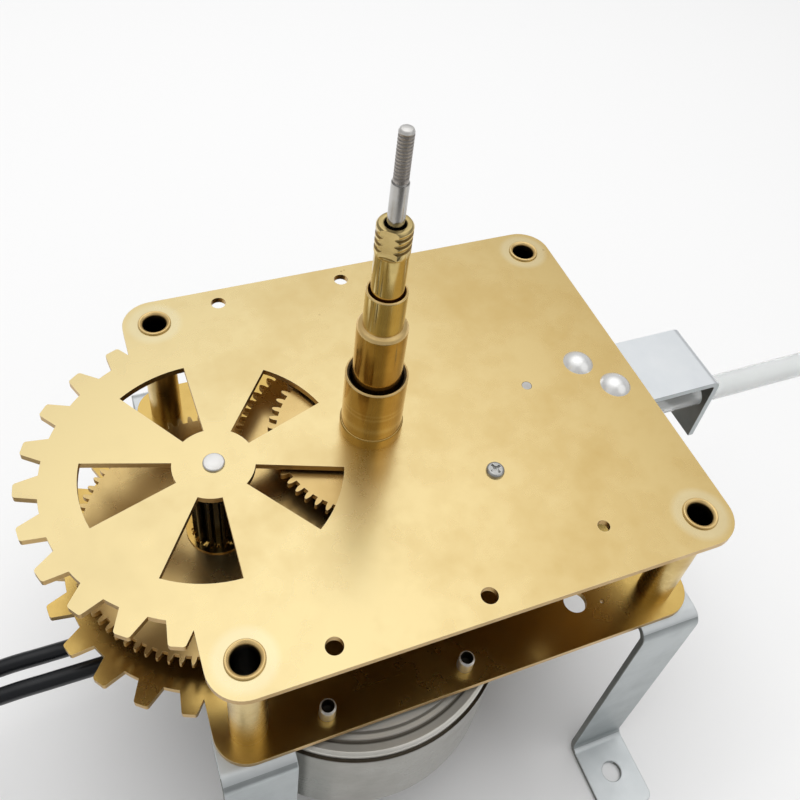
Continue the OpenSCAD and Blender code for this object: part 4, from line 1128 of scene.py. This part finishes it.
studio = {
    "floor": (0.83, 0.83, 0.83),
    "ambient": 0.34,
    "behind": 0.95,  # what the camera sees past the floor, also through the clear tube
    "softbox": 34.5,
    "glowFrom": (0.11, 0.36, 0.925),  # middle of the glow that the plates mirror
    "glow": ((0.0, 0.03), (0.47, 0.04), (0.68, 0.22), (0.82, 0.48), (0.91, 0.75), (1.0, 1.0)),
    "glowPeak": 1.175,
    "sideFrom": (0.525, -0.473, 0.707),
    "sidePeak": 0.7,
    "leftFrom": (-0.70, -0.12, 0.70),
    "leftPeak": 0.42,
    "fill": 0.28,  # low down and behind, for views from other sides
    "mirroredShadePatch": {"X": (-0.25, 0.47), "Y": (-0.75, 0.52)},
}


def dotWith(tree, way, target):
    return addNode(tree, "VectorMath", {0: way, 1: target}, operation="DOT_PRODUCT").outputs["Value"]


def makeFloor():
    bpy.ops.object.select_all(action="DESELECT")
    bpy.ops.mesh.primitive_plane_add(size=8, location=(0, 0, -0.0002))
    floor = bpy.context.active_object
    floor.name = "studio_floor"
    bpy.ops.object.transform_apply(location=True, rotation=True, scale=True)
    material, tree, shader = newMaterial("studio_floor", Roughness=0.9, Specular_IOR_Level=0.0)
    cloud = noise(tree, objectPoint(tree), 2.0, 2)
    lighter = tuple(part * 1.02 for part in studio["floor"])
    pale = mixColour(tree, cloud, studio["floor"], lighter)
    place = addNode(tree, "SeparateXYZ", {0: objectPoint(tree)}).outputs
    shaded = addNode(tree, "LightPath").outputs["Is Glossy Ray"]  # only glossy rays see the dark patch, a painted shade for the metal to mirror
    for axis in ("X", "Y"):
        middle, reach = studio["mirroredShadePatch"][axis]
        off = math2(tree, "ABSOLUTE", minus(tree, place[axis], middle))
        shaded = times(tree, shaded, remap(tree, off, reach, reach - 0.04))
    tree.links.new(mixColour(tree, shaded, pale, (0.025, 0.025, 0.025)), shader["Base Color"])
    floor.data.materials.append(material)


def makeWorld():
    world = bpy.data.worlds.new("studio")
    scene.world = world
    world.use_nodes = True
    tree = world.node_tree
    tree.nodes.clear()
    path = addNode(tree, "LightPath").outputs
    way = addNode(tree, "TexCoord").outputs["Generated"]
    ramp = addNode(tree, "ValToRGB", {"Fac": dotWith(tree, way, studio["glowFrom"])})
    ramp.color_ramp.interpolation = "EASE"
    stops = ramp.color_ramp.elements
    for i, (place, value) in enumerate(studio["glow"]):
        stop = stops[i] if i < 2 else stops.new(place)
        stop.position = place
        stop.color = (value, value, value, 1)
    glow = times(tree, ramp.outputs["Color"], studio["glowPeak"])
    side = remap(tree, dotWith(tree, way, studio["sideFrom"]), 0.82, 0.94, 0.0, studio["sidePeak"])
    left = remap(tree, dotWith(tree, way, studio["leftFrom"]), 0.82, 0.95, 0.0, studio["leftPeak"])
    seen = math2(tree, "MAXIMUM", glow, math2(tree, "MAXIMUM", side, left))
    parts = addNode(tree, "SeparateXYZ", {0: way}).outputs
    for axis, start, full in (("Z", 0.6, 0.3), ("Y", 0.0, -0.5)):
        seen = math2(tree, "MAXIMUM", seen, remap(tree, parts[axis], start, full, 0.0, studio["fill"]))
    soft = addNode(tree, "Mix", {"Factor": path["Is Glossy Ray"], "A": studio["ambient"], "B": seen})
    through = math2(tree, "MAXIMUM", path["Is Camera Ray"], path["Is Transmission Ray"])
    level = addNode(tree, "Mix", {"Factor": through, "A": soft.outputs[0], "B": studio["behind"]})
    background = addNode(tree, "Background", {"Color": (1, 1, 1, 1), "Strength": level.outputs[0]})
    addNode(tree, "OutputWorld", {"Surface": background.outputs[0]})


def makeSoftbox(name, place, target, size, power):
    light = bpy.data.objects.new(name, bpy.data.lights.new(name, "AREA"))
    scene.collection.objects.link(light)
    light.data.shape = "SQUARE"
    light.data.size = size
    light.data.energy = power
    light.location = place
    light.rotation_euler = (Vector(target) - Vector(place)).to_track_quat("-Z", "Y").to_euler()
    light.visible_glossy = False


makeFloor()
makeWorld()
makeSoftbox("overhead", (-0.02, 0.22, 1.8), (0, 0, 0.08), 1.7, studio["softbox"])
print("studio lit")
